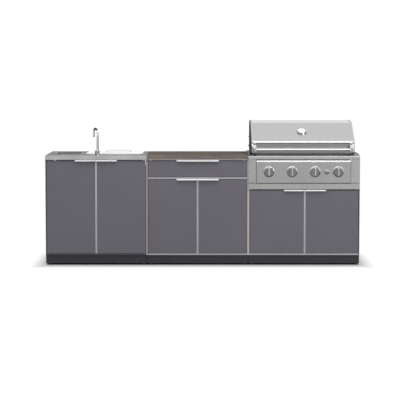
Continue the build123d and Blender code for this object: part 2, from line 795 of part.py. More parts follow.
with BuildPart() as tap_spout:
    rod(spout_plug_radius, (tap_x, tap_depth, spout_foot - spout_plug_length + 2 * seat_gap),
        (tap_x, tap_depth, spout_foot))
    rod(spout_column_radius, (tap_x, tap_depth, spout_foot), (tap_x, tap_depth, column_top))
    with Locations((tap_x, front_y + tap_depth, column_top + spout_taper / 2)):
        Cone(spout_column_radius, spout_tube_radius, spout_taper)
    with BuildLine(spout_plane) as spout_path:
        Line((0, spring), (0, spring + seat_gap))
        CenterArc((spout_arch_radius, spring + seat_gap), spout_arch_radius, 180, -180)
        Line((2 * spout_arch_radius, spring + seat_gap), (2 * spout_arch_radius, spring - spout_drop))
    with BuildSketch(Plane.XY.offset(spring)):
        with Locations((tap_x, front_y + tap_depth)):
            Circle(spout_tube_radius)
    sweep(path=spout_path.wires()[0])
save(tap_spout, "tap_spout")


# ---------------------------------------------------------------- grill front
frame_depth = (front_face_setback, frame_back)
panel_x = (grill_centre - panel_width / 2, grill_centre + panel_width / 2)
panel_z = (grill_rail_top + panel_gap, panel_top)


def folded_front(x, depth, z):
    """Add a sheet front with four edges folded back, open at the rear."""
    block(x, depth, z)
    block((x[0] + front_sheet, x[1] - front_sheet), (depth[0] + front_sheet, depth[1]),
          (z[0] + front_sheet, z[1] - front_sheet), mode=Mode.SUBTRACT)


with BuildPart() as grill_front_frame:
    folded_front((grill_cabinet.left, grill_cabinet.right), frame_depth, (grill_rail_bottom, grill_rail_top))
    for x in ((grill_cabinet.left, panel_x[0] - panel_gap), (panel_x[1] + panel_gap, grill_cabinet.right)):
        folded_front(x, frame_depth, (grill_rail_top + frame_joint, ledge_bottom - frame_joint))
    stop_front = front_frame_depth + seat_gap
    block(panel_x, (stop_front, stop_front + front_sheet), (grill_rail_top, grill_rail_top + panel_stop))
    for x in door_pivots(grill_cabinet):
        rod(pin_radius + pin_fit, (x, pivot_depth, grill_rail_bottom),
            (x, pivot_depth, grill_rail_bottom + front_sheet), mode=Mode.SUBTRACT)
save(grill_front_frame, "grill_front_frame")

with BuildPart() as control_panel:
    folded_front(panel_x, (0, front_frame_depth), panel_z)
    bullnose_z = panel_top - bullnose_radius
    rod(bullnose_radius, (panel_x[0], 0, bullnose_z), (panel_x[1], 0, bullnose_z))
    hollow_z = (bullnose_z - bullnose_radius, panel_top - front_sheet)
    hollow_x = (panel_x[0] + front_sheet, panel_x[1] - front_sheet)
    block(hollow_x, (front_sheet, bullnose_radius), hollow_z, mode=Mode.SUBTRACT)
    for x in knob_places:
        rod(stem_hole_radius, (x, 0, knob_z), (x, front_sheet, knob_z), mode=Mode.SUBTRACT)
    rod(button_shaft_radius + pin_fit, (button_x, 0, knob_z), (button_x, front_sheet, knob_z),
        mode=Mode.SUBTRACT)
save(control_panel, "control_panel")

with BuildPart() as knob_bezels:
    bezels = [(x, bezel_radius, bezel_bore_radius, bezel_depth) for x in knob_places]
    bezels.append((button_x, button_bezel_radius, button_bezel_bore, button_bezel_depth))
    for x, outer, bore, depth in bezels:
        rod(outer, (x, -depth, knob_z), (x, 0, knob_z))
        rod(bore, (x, -depth, knob_z), (x, 0, knob_z), mode=Mode.SUBTRACT)
    fillet(knob_bezels.faces().filter_by(Axis.Y).group_by(Axis.Y)[0].edges(),
           bezel_round * (bezel_radius - bezel_bore_radius))
save(knob_bezels, "knob_bezels")

with BuildPart() as igniter_button:
    button_face = -(button_bezel_depth + button_proud)
    button_back = -(button_travel + 2 * seat_gap)
    rod(button_radius, (button_x, button_face, knob_z), (button_x, button_back, knob_z))
    fillet(igniter_button.faces().sort_by(Axis.Y)[0].edges(), edge_share * button_proud)
    rod(button_shaft_radius, (button_x, button_back, knob_z), (button_x, button_shaft_length, knob_z))
save(igniter_button, "igniter_button")


def make_knob(number, x):
    """A round knob with a raised grip, bored from behind for its stem."""
    skirt = (-knob_back_gap - knob_skirt_depth, -knob_back_gap)
    with BuildPart() as knob:
        rod(knob_skirt_radius, (x, skirt[0], knob_z), (x, skirt[1], knob_z))
        chamfer(knob.faces().sort_by(Axis.Y)[0].edges(), edge_share * knob_skirt_depth)
        with BuildSketch(front_plane(skirt[0])):
            with Locations((x, knob_z)):
                SlotOverall(knob_grip_height, knob_grip_width, rotation=90)
        extrude(amount=knob_grip_depth, taper=knob_grip_taper)
        fillet(knob.faces().sort_by(Axis.Y)[0].edges(), edge_share * knob_grip_width / 2)
        bore_end = skirt[1] - stem_in_knob - stem_bore_spare
        rod(stem_radius + pin_fit, (x, bore_end, knob_z), (x, skirt[1], knob_z), mode=Mode.SUBTRACT)
    save(knob, f"knob_{number}")


def make_stem(number, x):
    """A valve stem, from inside its knob to inside its valve."""
    with BuildPart() as stem:
        rod(stem_radius, (x, -knob_back_gap - stem_in_knob, knob_z), (x, stem_in_valve, knob_z))
    save(stem, f"valve_stem_{number}")


for number, x in enumerate(knob_places, start=1):
    make_knob(number, x)
    make_stem(number, x)


# ---------------------------------------------------------------- gas line and burners
with BuildPart() as gas_manifold:
    pipe_end = knob_places[-1] + manifold_overhang
    rod(manifold_radius, (knob_places[0] - manifold_overhang, manifold_depth, knob_z),
        (pipe_end, manifold_depth, knob_z))
    rod(manifold_radius, (pipe_end, manifold_depth, knob_z + manifold_radius),
        (pipe_end, manifold_depth, knob_z - inlet_drop))
    rod(inlet_radius, (pipe_end, manifold_depth, knob_z - inlet_drop),
        (pipe_end, manifold_depth, knob_z - inlet_drop - inlet_thread))
    for x in knob_places:
        rod(valve_radius, (x, front_sheet, knob_z), (x, manifold_depth, knob_z))
        nozzle_tip = manifold_depth + manifold_radius + nozzle_length
        rod(nozzle_radius, (x, manifold_depth, knob_z), (x, nozzle_tip, knob_z))
        rod(stem_radius + pin_fit, (x, front_sheet, knob_z), (x, stem_in_valve + stem_end_room, knob_z),
            mode=Mode.SUBTRACT)
save(gas_manifold, "gas_manifold")

firebox_x = (grill_centre - firebox_width / 2, grill_centre + firebox_width / 2)
chamber_x = (firebox_x[0] + firebox_wall, firebox_x[1] - firebox_wall)
chamber_depth = (firebox_front + firebox_wall, firebox_back - firebox_wall)
flange_top = deck_top + firebox_flange_thickness

with BuildPart() as firebox:
    block(firebox_x, (firebox_front, firebox_back), (firebox_bottom, flange_top))
    for wall in ((firebox_x[0], chamber_x[0]), (chamber_x[1], firebox_x[1])):
        block(wall, (firebox_front, firebox_back), (tray_seat_z - firebox_wall, firebox_bottom))
        block(wall, (hinge_depth - hinge_ear_half, hinge_depth + hinge_ear_half),
              (flange_top, hinge_z + hinge_ear_half))
    block((firebox_x[0] - firebox_flange, firebox_x[1] + firebox_flange),
          (firebox_front - firebox_flange, firebox_back + firebox_flange), (deck_top, flange_top))
    block(chamber_x, chamber_depth, (firebox_bottom, flange_top), mode=Mode.SUBTRACT)
    for lip in ((chamber_x[0], chamber_x[0] + tray_lip), (chamber_x[1] - tray_lip, chamber_x[1])):
        block(lip, (firebox_front, firebox_back), (tray_seat_z - firebox_wall, tray_seat_z))
    for seat in (grate_seat_z, tamer_seat_z):
        for edge in ((chamber_depth[0], chamber_depth[0] + ledge_width),
                     (chamber_depth[1] - ledge_width, chamber_depth[1])):
            block(chamber_x, edge, (seat - firebox_wall, seat))
    for x in knob_places:
        rod(burner_radius + seat_gap, (x, firebox_front, knob_z), (x, chamber_depth[0], knob_z),
            mode=Mode.SUBTRACT)
    for side in (-1, 1):
        ear = grill_centre + side * firebox_width / 2
        rod(hinge_radius + pin_fit, (ear - side * firebox_wall, hinge_depth, hinge_z),
            (ear, hinge_depth, hinge_z), mode=Mode.SUBTRACT)
save(firebox, "firebox")

burner_start = firebox_front - burner_lead
burner_end = firebox_back - burner_spare

with BuildPart() as burners:
    for x in knob_places:
        rod(burner_radius, (x, burner_start, knob_z), (x, burner_end, knob_z))
        rod(nozzle_radius, (x, burner_end, knob_z), (x, chamber_depth[1], knob_z))
        rod(burner_radius - burner_wall, (x, burner_start, knob_z), (x, burner_start + burner_mouth, knob_z),
            mode=Mode.SUBTRACT)
save(burners, "burners")

with BuildPart() as flame_tamers:
    with BuildSketch(front_plane(chamber_depth[1] - seat_gap)):
        with Locations(*[(x, tamer_seat_z) for x in knob_places]):
            half = tamer_width / 2
            Polygon((-half, 0), (0, tamer_height), (half, 0), (half - 2 * tamer_sheet, 0),
                    (0, tamer_height - 2 * tamer_sheet), (2 * tamer_sheet - half, 0), align=None)
    extrude(amount=chamber_depth[1] - chamber_depth[0] - 2 * seat_gap)
save(flame_tamers, "flame_tamers")

with BuildPart() as cooking_grates:
    grate_width = (chamber_x[1] - chamber_x[0] - (grate_count + 1) * grate_gap) / grate_count
    grate_depth = (chamber_depth[0] + seat_gap, chamber_depth[1] - seat_gap)
    bar_pitch = (grate_width - grate_bar) / (grate_bars - 1)
    for i in range(grate_count):
        start = chamber_x[0] + grate_gap + i * (grate_width + grate_gap)
        for k in range(grate_bars):
            left = start + k * bar_pitch
            block((left, left + grate_bar), grate_depth, (grate_seat_z, grate_seat_z + grate_height))
        for edge in (grate_depth[0] + ledge_width, grate_depth[1] - ledge_width - grate_bar):
            block((start, start + grate_width), (edge, edge + grate_bar),
                  (grate_seat_z, grate_seat_z + grate_bar))
save(cooking_grates, "cooking_grates")

with BuildPart() as drip_tray:
    tray_x = (chamber_x[0] + tray_gap, chamber_x[1] - tray_gap)
    tray_depth = (firebox_front + tray_gap, firebox_back - tray_gap)
    block(tray_x, tray_depth, (tray_seat_z, tray_seat_z + tray_height))
    block((tray_x[0] + tray_wall, tray_x[1] - tray_wall),
          (tray_depth[0] + tray_wall, tray_depth[1] - tray_wall),
          (tray_seat_z + tray_wall, tray_seat_z + tray_height), mode=Mode.SUBTRACT)
save(drip_tray, "drip_tray")

with BuildPart() as warming_rack:
    rack_back = firebox_back - rack_inset
    rack_front = rack_back - rack_width
    rack_x = (firebox_x[0] - firebox_flange / 2, firebox_x[1] + firebox_flange / 2)
    rack_under = rack_z - rack_rod_radius - seat_gap
    for depth in (rack_front, rack_back):
        rod(rack_rod_radius, (rack_x[0] - rack_rod_radius, depth, rack_z),
            (rack_x[1] + rack_rod_radius, depth, rack_z))
        for x in rack_x:
            rod(rack_rod_radius, (x, depth, flange_top), (x, depth, rack_under))
    for i in range(rack_cross_count):
        x = rack_x[0] + (i + 0.5) * (rack_x[1] - rack_x[0]) / rack_cross_count
        rod(rack_cross_radius, (x, rack_front, rack_z), (x, rack_back, rack_z))
save(warming_rack, "warming_rack")


# ---------------------------------------------------------------- deck
groove_end = deck_groove_start + deck_groove_width
groove_floor = ledge_top - deck_groove_cut

with BuildPart() as grill_deck:
    with BuildSketch(side_plane(grill_cabinet.left)):
        Polygon((0, ledge_bottom), (0, ledge_top), (deck_groove_start, ledge_top),
                (deck_groove_start, groove_floor), (groove_end, groove_floor), (groove_end, ledge_top),
                (deck_slope_end, deck_top), (counter_depth, deck_top), (counter_depth, ledge_bottom),
                align=None)
    extrude(amount=grill_cabinet.right - grill_cabinet.left)
    fillet(grill_deck.edges().filter_by(Axis.X).group_by(Axis.Y)[0].sort_by(Axis.Z)[-1], deck_edge_round)
    with BuildSketch(side_plane(grill_cabinet.left + deck_sheet)):
        Polygon((deck_sheet, ledge_bottom), (deck_sheet, groove_floor - deck_sheet),
                (groove_end + deck_sheet, groove_floor - deck_sheet),
                (deck_slope_end, deck_top - deck_sheet),
                (counter_depth - deck_sheet, deck_top - deck_sheet),
                (counter_depth - deck_sheet, ledge_bottom), align=None)
    extrude(amount=grill_cabinet.right - grill_cabinet.left - 2 * deck_sheet, mode=Mode.SUBTRACT)
    block((firebox_x[0] - deck_hole_gap, firebox_x[1] + deck_hole_gap),
          (firebox_front - deck_hole_gap, firebox_back + deck_hole_gap),
          (deck_top - deck_sheet, deck_top), mode=Mode.SUBTRACT)
save(grill_deck, "grill_deck")


# ---------------------------------------------------------------- hood
hood_face = ((hood_front, hood_fold_z), (hood_brow_depth, hood_brow_z))
hood_crest = ((hood_crown_depth, hood_crown_z), (hood_back, hood_heel_z))
hood_radii = [hood_fold_radius, hood_brow_radius, hood_bend_radius, hood_bend_radius]
cap_radii = [hood_fold_radius] + hood_radii + [hood_fold_radius] * 2
cap_inner = hood_half_width - cap_thickness
face_rise = Vector(0, hood_brow_depth - hood_front, hood_brow_z - hood_fold_z)
gauge_plane = Plane(origin=Vector(grill_centre, front_y + hood_front, hood_fold_z) + face_rise * gauge_place,
                    x_dir=(1, 0, 0), z_dir=Vector(1, 0, 0).cross(face_rise))
above_face = (Align.CENTER, Align.CENTER, Align.MIN)
below_face = (Align.CENTER, Align.CENTER, Align.MAX)

with BuildPart() as hood_skin:
    with BuildSketch(side_plane(grill_centre - cap_inner)):
        with BuildLine():
            FilletPolyline((hood_front, hood_bottom), *hood_face, *hood_crest,
                           (hood_back, hood_bottom + hood_vent_height),
                           radius=hood_radii)
            offset(amount=hood_sheet, side=Side.RIGHT)
        make_face()
    extrude(amount=2 * cap_inner)
    trim_line = (hood_front + trim_setback, hood_fold_z - trim_drop)
    rod(trim_radius, (grill_centre - cap_inner, *trim_line), (grill_centre + cap_inner, *trim_line))
    with Locations(gauge_plane):
        Cylinder(gauge_probe_radius + seat_gap, 2 * hood_sheet, mode=Mode.SUBTRACT)
save(hood_skin, "hood_skin")

with BuildPart() as hood_end_caps:
    for side in (-1, 1):
        inner = min(side * cap_inner, side * hood_half_width)
        with BuildSketch(side_plane(grill_centre + inner)):
            with BuildLine():
                FilletPolyline((hood_front, hood_bottom), *hood_face, *hood_crest,
                               (hood_back, hood_bottom + heel_cut_height),
                               (hood_back - heel_cut_depth, hood_bottom),
                               radius=cap_radii, close=True)
            make_face()
            offset(amount=cap_lip)
        extrude(amount=cap_thickness)
        fillet(hood_end_caps.faces().sort_by(Axis.X)[0 if side < 0 else -1].edges(), cap_round)
        face = grill_centre + side * hood_half_width
        cap_bolt = (hood_back - cap_bolt_inset, hinge_z + cap_bolt_rise)
        rod(cap_bolt_radius, (face, *cap_bolt), (face + side * cap_bolt_head, *cap_bolt))
        rod(hinge_radius + pin_fit, (face - side * cap_thickness, hinge_depth, hinge_z),
            (face, hinge_depth, hinge_z), mode=Mode.SUBTRACT)
save(hood_end_caps, "hood_end_caps")

with BuildPart() as hood_handle:
    bar_line = (hood_front - handle_bar_reach, deck_top + handle_bar_rise)
    bracket_nose = bar_line[0] - bracket_lead
    bracket_bottom = bar_line[1] - bracket_drop
    bracket_top = trim_line[1] - trim_radius - seat_gap
    bracket_outer = hood_half_width - bracket_inset
    bracket_inner = bracket_outer - bracket_width
    bracket_back = hood_front - cap_lip - seat_gap
    for side in (-1, 1):
        inner = min(side * bracket_inner, side * bracket_outer)
        with BuildSketch(side_plane(grill_centre + inner)):
            Polygon((bracket_back, bracket_top), (bracket_back, bracket_top - bracket_wall),
                    (bracket_nose + bracket_nose_depth, bracket_bottom), (bracket_nose, bracket_bottom),
                    (bracket_nose, bracket_bottom + bracket_nose_height), align=None)
        extrude(amount=bracket_width)
        with BuildSketch(front_plane(bracket_back)):
            bracket_foot = bracket_inner + bracket_foot_width
            Polygon((grill_centre + side * bracket_outer, bracket_top),
                    (grill_centre + side * bracket_outer, bracket_bottom),
                    (grill_centre + side * bracket_foot, bracket_bottom), align=None)
        extrude(amount=bracket_back - bracket_nose, mode=Mode.SUBTRACT)
    bar_end = bracket_inner - seat_gap
    rod(handle_bar_radius, (grill_centre - bar_end, *bar_line), (grill_centre + bar_end, *bar_line))
save(hood_handle, "hood_handle")

with BuildPart() as thermometer:
    with Locations(gauge_plane):
        Cylinder(gauge_radius, gauge_height, align=above_face)
    fillet(thermometer.edges().filter_by(GeomType.CIRCLE).sort_by(Axis.Z)[-1], gauge_window_depth)
    with Locations(gauge_plane.offset(gauge_height)):
        Cylinder(gauge_window_radius, gauge_window_depth, align=below_face, mode=Mode.SUBTRACT)
    with Locations(gauge_plane):
        Cylinder(gauge_probe_radius, gauge_probe_length, align=below_face)
save(thermometer, "thermometer")
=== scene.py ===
"""Looks of the outdoor kitchen row: materials, small trim, light and camera. Metres, row frame."""

import json
import math

import bmesh
import bpy
from mathutils import Matrix, Vector


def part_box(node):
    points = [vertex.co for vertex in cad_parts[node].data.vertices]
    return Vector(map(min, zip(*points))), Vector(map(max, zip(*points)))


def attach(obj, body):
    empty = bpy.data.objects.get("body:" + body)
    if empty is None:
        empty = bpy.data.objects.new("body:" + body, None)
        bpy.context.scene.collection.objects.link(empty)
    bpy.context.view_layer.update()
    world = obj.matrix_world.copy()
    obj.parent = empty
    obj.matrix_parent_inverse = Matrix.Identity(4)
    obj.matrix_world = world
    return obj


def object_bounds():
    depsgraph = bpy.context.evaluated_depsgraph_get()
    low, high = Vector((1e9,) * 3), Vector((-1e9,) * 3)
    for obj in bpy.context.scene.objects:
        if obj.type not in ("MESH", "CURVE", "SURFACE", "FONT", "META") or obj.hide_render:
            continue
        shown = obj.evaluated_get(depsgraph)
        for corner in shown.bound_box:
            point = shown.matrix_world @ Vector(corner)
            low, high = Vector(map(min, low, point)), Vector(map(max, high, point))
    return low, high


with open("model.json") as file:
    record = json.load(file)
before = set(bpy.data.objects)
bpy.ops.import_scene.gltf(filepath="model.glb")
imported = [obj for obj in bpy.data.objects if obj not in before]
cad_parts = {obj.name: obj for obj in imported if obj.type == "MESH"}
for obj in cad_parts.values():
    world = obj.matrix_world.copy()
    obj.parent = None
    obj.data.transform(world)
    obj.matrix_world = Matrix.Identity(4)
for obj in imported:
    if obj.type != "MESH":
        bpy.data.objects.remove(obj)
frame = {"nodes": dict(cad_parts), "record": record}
nodes = frame["nodes"]
cad_low, cad_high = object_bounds()

# ---------------------------------------------------------------- names and places in the frame
CABINETS = ("sink", "middle", "grill")
SIDES = ("left", "right")
KNOBS = (1, 2, 3, 4)
MM = 0.001
WHITE = (1.0, 1.0, 1.0, 1.0)


def middle_of(node):
    """The centre of a CAD node's box."""
    low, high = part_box(node)
    return (low + high) / 2


def meeting_x(cabinet):
    """Where a cabinet's two doors meet."""
    left_door_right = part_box(f"{cabinet}_left_door")[1].x
    right_door_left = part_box(f"{cabinet}_right_door")[0].x
    return (left_door_right + right_door_left) / 2


# ---------------------------------------------------------------- node helpers
def linear(red, green, blue):
    """A display colour, 0 to 255, as linear light with alpha."""
    def channel(value):
        share = value / 255
        return share / 12.92 if share <= 0.04045 else ((share + 0.055) / 1.055) ** 2.4
    return channel(red), channel(green), channel(blue), 1.0


def add(tree, kind, sockets=None, **settings):
    """Add a shader node; sockets maps an input to a plain value or to another node's output."""
    made = tree.nodes.new("ShaderNode" + kind)
    for key, setting in settings.items():
        setattr(made, key, setting)
    for key, source in (sockets or {}).items():
        if isinstance(source, bpy.types.NodeSocket):
            tree.links.new(source, made.inputs[key])
        else:
            made.inputs[key].default_value = source
    return made


def new_material():
    """A fresh node material, its tree and its Principled shader; the table below names it."""
    material = bpy.data.materials.new("finish")
    material.use_nodes = True
    return material, material.node_tree, material.node_tree.nodes["Principled BSDF"]


def place(tree, stretch=(1.0, 1.0, 1.0)):
    """The point on the object, in metres of the row frame, stretched along its axes."""
    point = add(tree, "TexCoord").outputs["Object"]
    return add(tree, "Mapping", {"Vector": point, "Scale": stretch}).outputs[0]


def noise(tree, vector, scale, detail=3.0, roughness=0.5):
    """Fractal noise about 0.5, most of it between 0.3 and 0.7."""
    return add(tree, "TexNoise", {"Vector": vector, "Scale": scale, "Detail": detail,
                                  "Roughness": roughness}).outputs["Fac"]


def spread(tree, value, from_range, to_range=(0.0, 1.0)):
    """A value moved from one range to another and held inside it."""
    return add(tree, "MapRange", {"Value": value, "From Min": from_range[0], "From Max": from_range[1],
                                  "To Min": to_range[0], "To Max": to_range[1]}).outputs[0]


def maths(tree, operation, first, second=0.0):
    """One sum on two values."""
    return add(tree, "Math", {0: first, 1: second}, operation=operation).outputs[0]


def mix(tree, factor, first, second):
    """A colour between two colours."""
    return add(tree, "Mix", {0: factor, 6: first, 7: second}, data_type="RGBA").outputs[2]


def axis_value(tree, axis):
    """The X, Y or Z of the point on the object."""
    point = add(tree, "TexCoord").outputs["Object"]
    return add(tree, "SeparateXYZ", {0: point}).outputs[axis]


def facing(tree, axis):
    """How far the surface faces along an axis, from -1 to 1."""
    return add(tree, "SeparateXYZ", {0: add(tree, "NewGeometry").outputs["Normal"]}).outputs[axis]


def shade(colour, factor):
    """A colour made lighter or darker by a factor."""
    return tuple(min(1.0, channel * factor) for channel in colour[:3]) + (1.0,)


def raise_surface(tree, shader, height, distance):
    """Soften the object's edges and bump it; distance is the height of the map's full range."""
    edge_radius = 0.8 * MM
    soft_edges = add(tree, "Bevel", {"Radius": edge_radius}, samples=4).outputs[0]
    bump = add(tree, "Bump", {"Height": height, "Distance": distance, "Normal": soft_edges})
    tree.links.new(bump.outputs[0], shader.inputs["Normal"])


# ---------------------------------------------------------------- plain finishes
def painted(colour, roughness, metal=0.0):
    """Powder coat: fine orange peel, faint clouding and dust that dulls it in patches."""
    peel_depth, variation = 0.04 * MM, 0.035
    material, tree, shader = new_material()
    clouds = noise(tree, place(tree), 3.0, 4.0, 0.6)
    cloud_share = spread(tree, clouds, (0.3, 0.7))
    base = mix(tree, cloud_share, shade(colour, 1 - variation), shade(colour, 1 + variation))
    tree.links.new(base, shader.inputs["Base Color"])
    dull = noise(tree, place(tree), 14.0, 5.0, 0.65)
    gloss = spread(tree, dull, (0.35, 0.7), (roughness - 0.05, roughness + 0.07))
    tree.links.new(gloss, shader.inputs["Roughness"])
    shader.inputs["Metallic"].default_value = metal
    raise_surface(tree, shader, noise(tree, place(tree), 900.0, 2.0), peel_depth)
    return material


def brushed(colour, roughness, grain="X", smear=0.02, metal=1.0):
    """Brushed metal: long fine scratches along one axis, with soft smears in the gloss."""
    scratch_depth, scratch_gloss, scratch_shade, cloud_shade = 0.0008 * MM, 0.02, 0.015, 0.93
    material, tree, shader = new_material()
    stretch = {"X": (4.0, 900.0, 900.0), "Y": (900.0, 4.0, 900.0)}[grain]
    scratches = noise(tree, place(tree, stretch), 1.0, 3.0, 0.7)
    clouds = noise(tree, place(tree), 2.2, 4.0)
    grain_share = spread(tree, scratches, (0.3, 0.7))
    grainy = mix(tree, grain_share, shade(colour, 1 - scratch_shade), shade(colour, 1 + scratch_shade))
    cloud_share = spread(tree, clouds, (0.35, 0.65), (0.0, 0.35))
    base = mix(tree, cloud_share, grainy, shade(colour, cloud_shade))
    tree.links.new(base, shader.inputs["Base Color"])
    smears = noise(tree, place(tree), 7.0, 5.0, 0.6)
    fine_gloss = spread(tree, scratches, (0.3, 0.7), (-scratch_gloss, scratch_gloss))
    broad_gloss = spread(tree, smears, (0.35, 0.7), (roughness - smear, roughness + smear))
    gloss = maths(tree, "ADD", fine_gloss, broad_gloss)
    tree.links.new(gloss, shader.inputs["Roughness"])
    shader.inputs["Metallic"].default_value = metal
    raise_surface(tree, shader, scratches, scratch_depth)
    return material


def polished(colour, roughness=0.07):
    """Polished plate with faint wiping marks."""
    material, tree, shader = new_material()
    wipes = noise(tree, place(tree, (1.0, 1.0, 0.3)), 60.0, 4.0, 0.6)
    wiped = mix(tree, spread(tree, wipes, (0.4, 0.7)), colour, shade(colour, 0.94))
    tree.links.new(wiped, shader.inputs["Base Color"])
    gloss = spread(tree, wipes, (0.4, 0.7), (roughness, roughness + 0.08))
    tree.links.new(gloss, shader.inputs["Roughness"])
    shader.inputs["Metallic"].default_value = 1.0
    raise_surface(tree, shader, noise(tree, place(tree), 300.0, 2.0), 0.004 * MM)
    return material


def moulded(colour, roughness, grain_depth=0.03 * MM):
    """Moulded plastic with a fine spark-eroded grain and slight scuffs."""
    material, tree, shader = new_material()
    scuffs = noise(tree, place(tree), 25.0, 5.0, 0.65)
    scuffed = mix(tree, spread(tree, scuffs, (0.35, 0.7)), colour, shade(colour, 0.95))
    tree.links.new(scuffed, shader.inputs["Base Color"])
    gloss = spread(tree, scuffs, (0.35, 0.7), (roughness - 0.05, roughness + 0.1))
    tree.links.new(gloss, shader.inputs["Roughness"])
    raise_surface(tree, shader, noise(tree, place(tree), 1400.0, 2.0), grain_depth)
    return material


def cast_iron(colour):
    """Seasoned cast iron: grainy, dark, with lighter worn high spots."""
    material, tree, shader = new_material()
    grains = noise(tree, place(tree), 700.0, 4.0, 0.7)
    wear = noise(tree, place(tree), 40.0, 5.0, 0.7)
    worn = mix(tree, spread(tree, wear, (0.45, 0.75)), colour, shade(colour, 1.9))
    tree.links.new(worn, shader.inputs["Base Color"])
    tree.links.new(spread(tree, grains, (0.3, 0.7), (0.5, 0.75)), shader.inputs["Roughness"])
    shader.inputs["Metallic"].default_value = 0.6
    raise_surface(tree, shader, grains, 0.2 * MM)
    return material


def board(colour):
    """The counter's board core, with layered edges."""
    material, tree, shader = new_material()
    layers = noise(tree, place(tree, (20.0, 20.0, 420.0)), 1.0, 4.0, 0.6)
    layered = mix(tree, spread(tree, layers, (0.35, 0.65)), shade(colour, 0.75), colour)
    tree.links.new(layered, shader.inputs["Base Color"])
    shader.inputs["Roughness"].default_value = 0.7
    raise_surface(tree, shader, layers, 0.2 * MM)
    return material


def clear_glass():
    """Thin clear glass for the gauge's window."""
    material, tree, shader = new_material()
    shader.inputs["Base Color"].default_value = WHITE
    shader.inputs["Transmission Weight"].default_value = 1.0
    shader.inputs["IOR"].default_value = 1.05
    smear = noise(tree, place(tree), 80.0, 3.0)
    tree.links.new(spread(tree, smear, (0.4, 0.7), (0.0, 0.06)), shader.inputs["Roughness"])
    return material


# ---------------------------------------------------------------- finishes painted part by part
def repaint(material, mask, colour, metal=None):
    """Give the masked part of a finished material another colour, and metal where that is given."""
    tree = material.node_tree
    shader = tree.nodes["Principled BSDF"]
    plain = shader.inputs["Base Color"].links[0].from_socket
    tree.links.new(mix(tree, mask, plain, colour), shader.inputs["Base Color"])
    if metal is not None:
        plain_metal = shader.inputs["Metallic"].default_value
        tree.links.new(spread(tree, mask, (0.0, 1.0), (plain_metal, metal)), shader.inputs["Metallic"])


def fade(tree, axis, start, end):
    """0 up to one place on an axis, 1 from another on, and a fade between them."""
    return spread(tree, axis_value(tree, axis), (start, end))


def near(tree, axis, place_on_axis, reach):
    """1 within a distance of a place on one axis, and 0 elsewhere."""
    away = maths(tree, "ABSOLUTE", maths(tree, "SUBTRACT", axis_value(tree, axis), place_on_axis))
    return maths(tree, "LESS_THAN", away, reach)


def door_paint(colour, cabinet, edge_colour):
    """Powder coat with the bright metal edge strips where a cabinet's two doors meet."""
    strip_reach, strip_metal = 5.2 * MM, 0.5
    material = painted(colour, roughness=0.4, metal=0.2)
    strips = near(material.node_tree, "X", meeting_x(cabinet), strip_reach)
    repaint(material, strips, edge_colour, strip_metal)
    return material


def side_panel_paint(colour):
    """Powder coat, with the bare edges that show as light lines where cabinets meet."""
    seam_reach = 9 * MM
    edge_depth = 1 * MM
    material = painted(colour, roughness=0.45, metal=0.2)
    tree = material.node_tree
    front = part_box("sink_left_door")[0].y + edge_depth
    on_edge = maths(tree, "LESS_THAN", axis_value(tree, "Y"), front)
    seams = ((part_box("sink_counter")[1].x, linear(150, 143, 144)),
             (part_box("middle_counter")[1].x, linear(186, 179, 176)))
    for x, edge_colour in seams:
        bare = maths(tree, "MULTIPLY", near(tree, "X", x, seam_reach), on_edge)
        repaint(material, bare, edge_colour)
    return material


def rail_metal(colour, painted_colour):
    """Bare rails, but for the slate one under the sink counter, darkened further as painted shadow
    from the counter above.
    """
    counter_shadow_shade, slate_metal = 0.5, 0.2
    material = brushed(colour, roughness=0.4)
    tree = material.node_tree
    under_sink = maths(tree, "LESS_THAN", axis_value(tree, "X"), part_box("sink_counter")[1].x)
    # painted shadow: the slate rail under the sink counter is darkened to half
    repaint(material, under_sink, shade(painted_colour, counter_shadow_shade), slate_metal)
    return material


def counter_steel(colour, shaded_top_colour):
    """The sink counter: its front in soft painted bands of reflected light, its top painted darker as
    shade, most of all at both ends.
    """
    top_round, front_strip = 2.5 * MM, 8 * MM
    bowl_fade, end_fade = 90 * MM, 30 * MM
    band_highlight, bowl_shade, end_shade = 1.35, 0.76, 0.6
    material = brushed(colour, roughness=0.28)
    tree = material.node_tree
    # painted reflection: soft lighter bands across the front
    reflection_bands = noise(tree, place(tree, (4.0, 0.3, 0.3)), 1.0, 2.0)
    repaint(material, spread(tree, reflection_bands, (0.4, 0.65), (0.0, 0.6)), shade(colour, band_highlight))
    low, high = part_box("sink_counter")
    on_top = maths(tree, "GREATER_THAN", axis_value(tree, "Z"), high.z - top_round)
    # painted shade: the whole top is darker than the front
    repaint(material, on_top, shaded_top_colour)
    behind_strip = maths(tree, "GREATER_THAN", axis_value(tree, "Y"), low.y + front_strip)
    inner_top = maths(tree, "MULTIPLY", on_top, behind_strip)
    bin_low, bin_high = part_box("ice_bin")
    ends = ((bin_low.x, -bowl_fade, bowl_shade), (bin_high.x, end_fade, end_shade))
    # painted shade: the top is darker still towards the bowl and at the right end
    for edge, length, factor in ends:
        beyond_bin = fade(tree, "X", edge, edge + length)
        repaint(material, maths(tree, "MULTIPLY", beyond_bin, inner_top), shade(shaded_top_colour, factor))
    return material


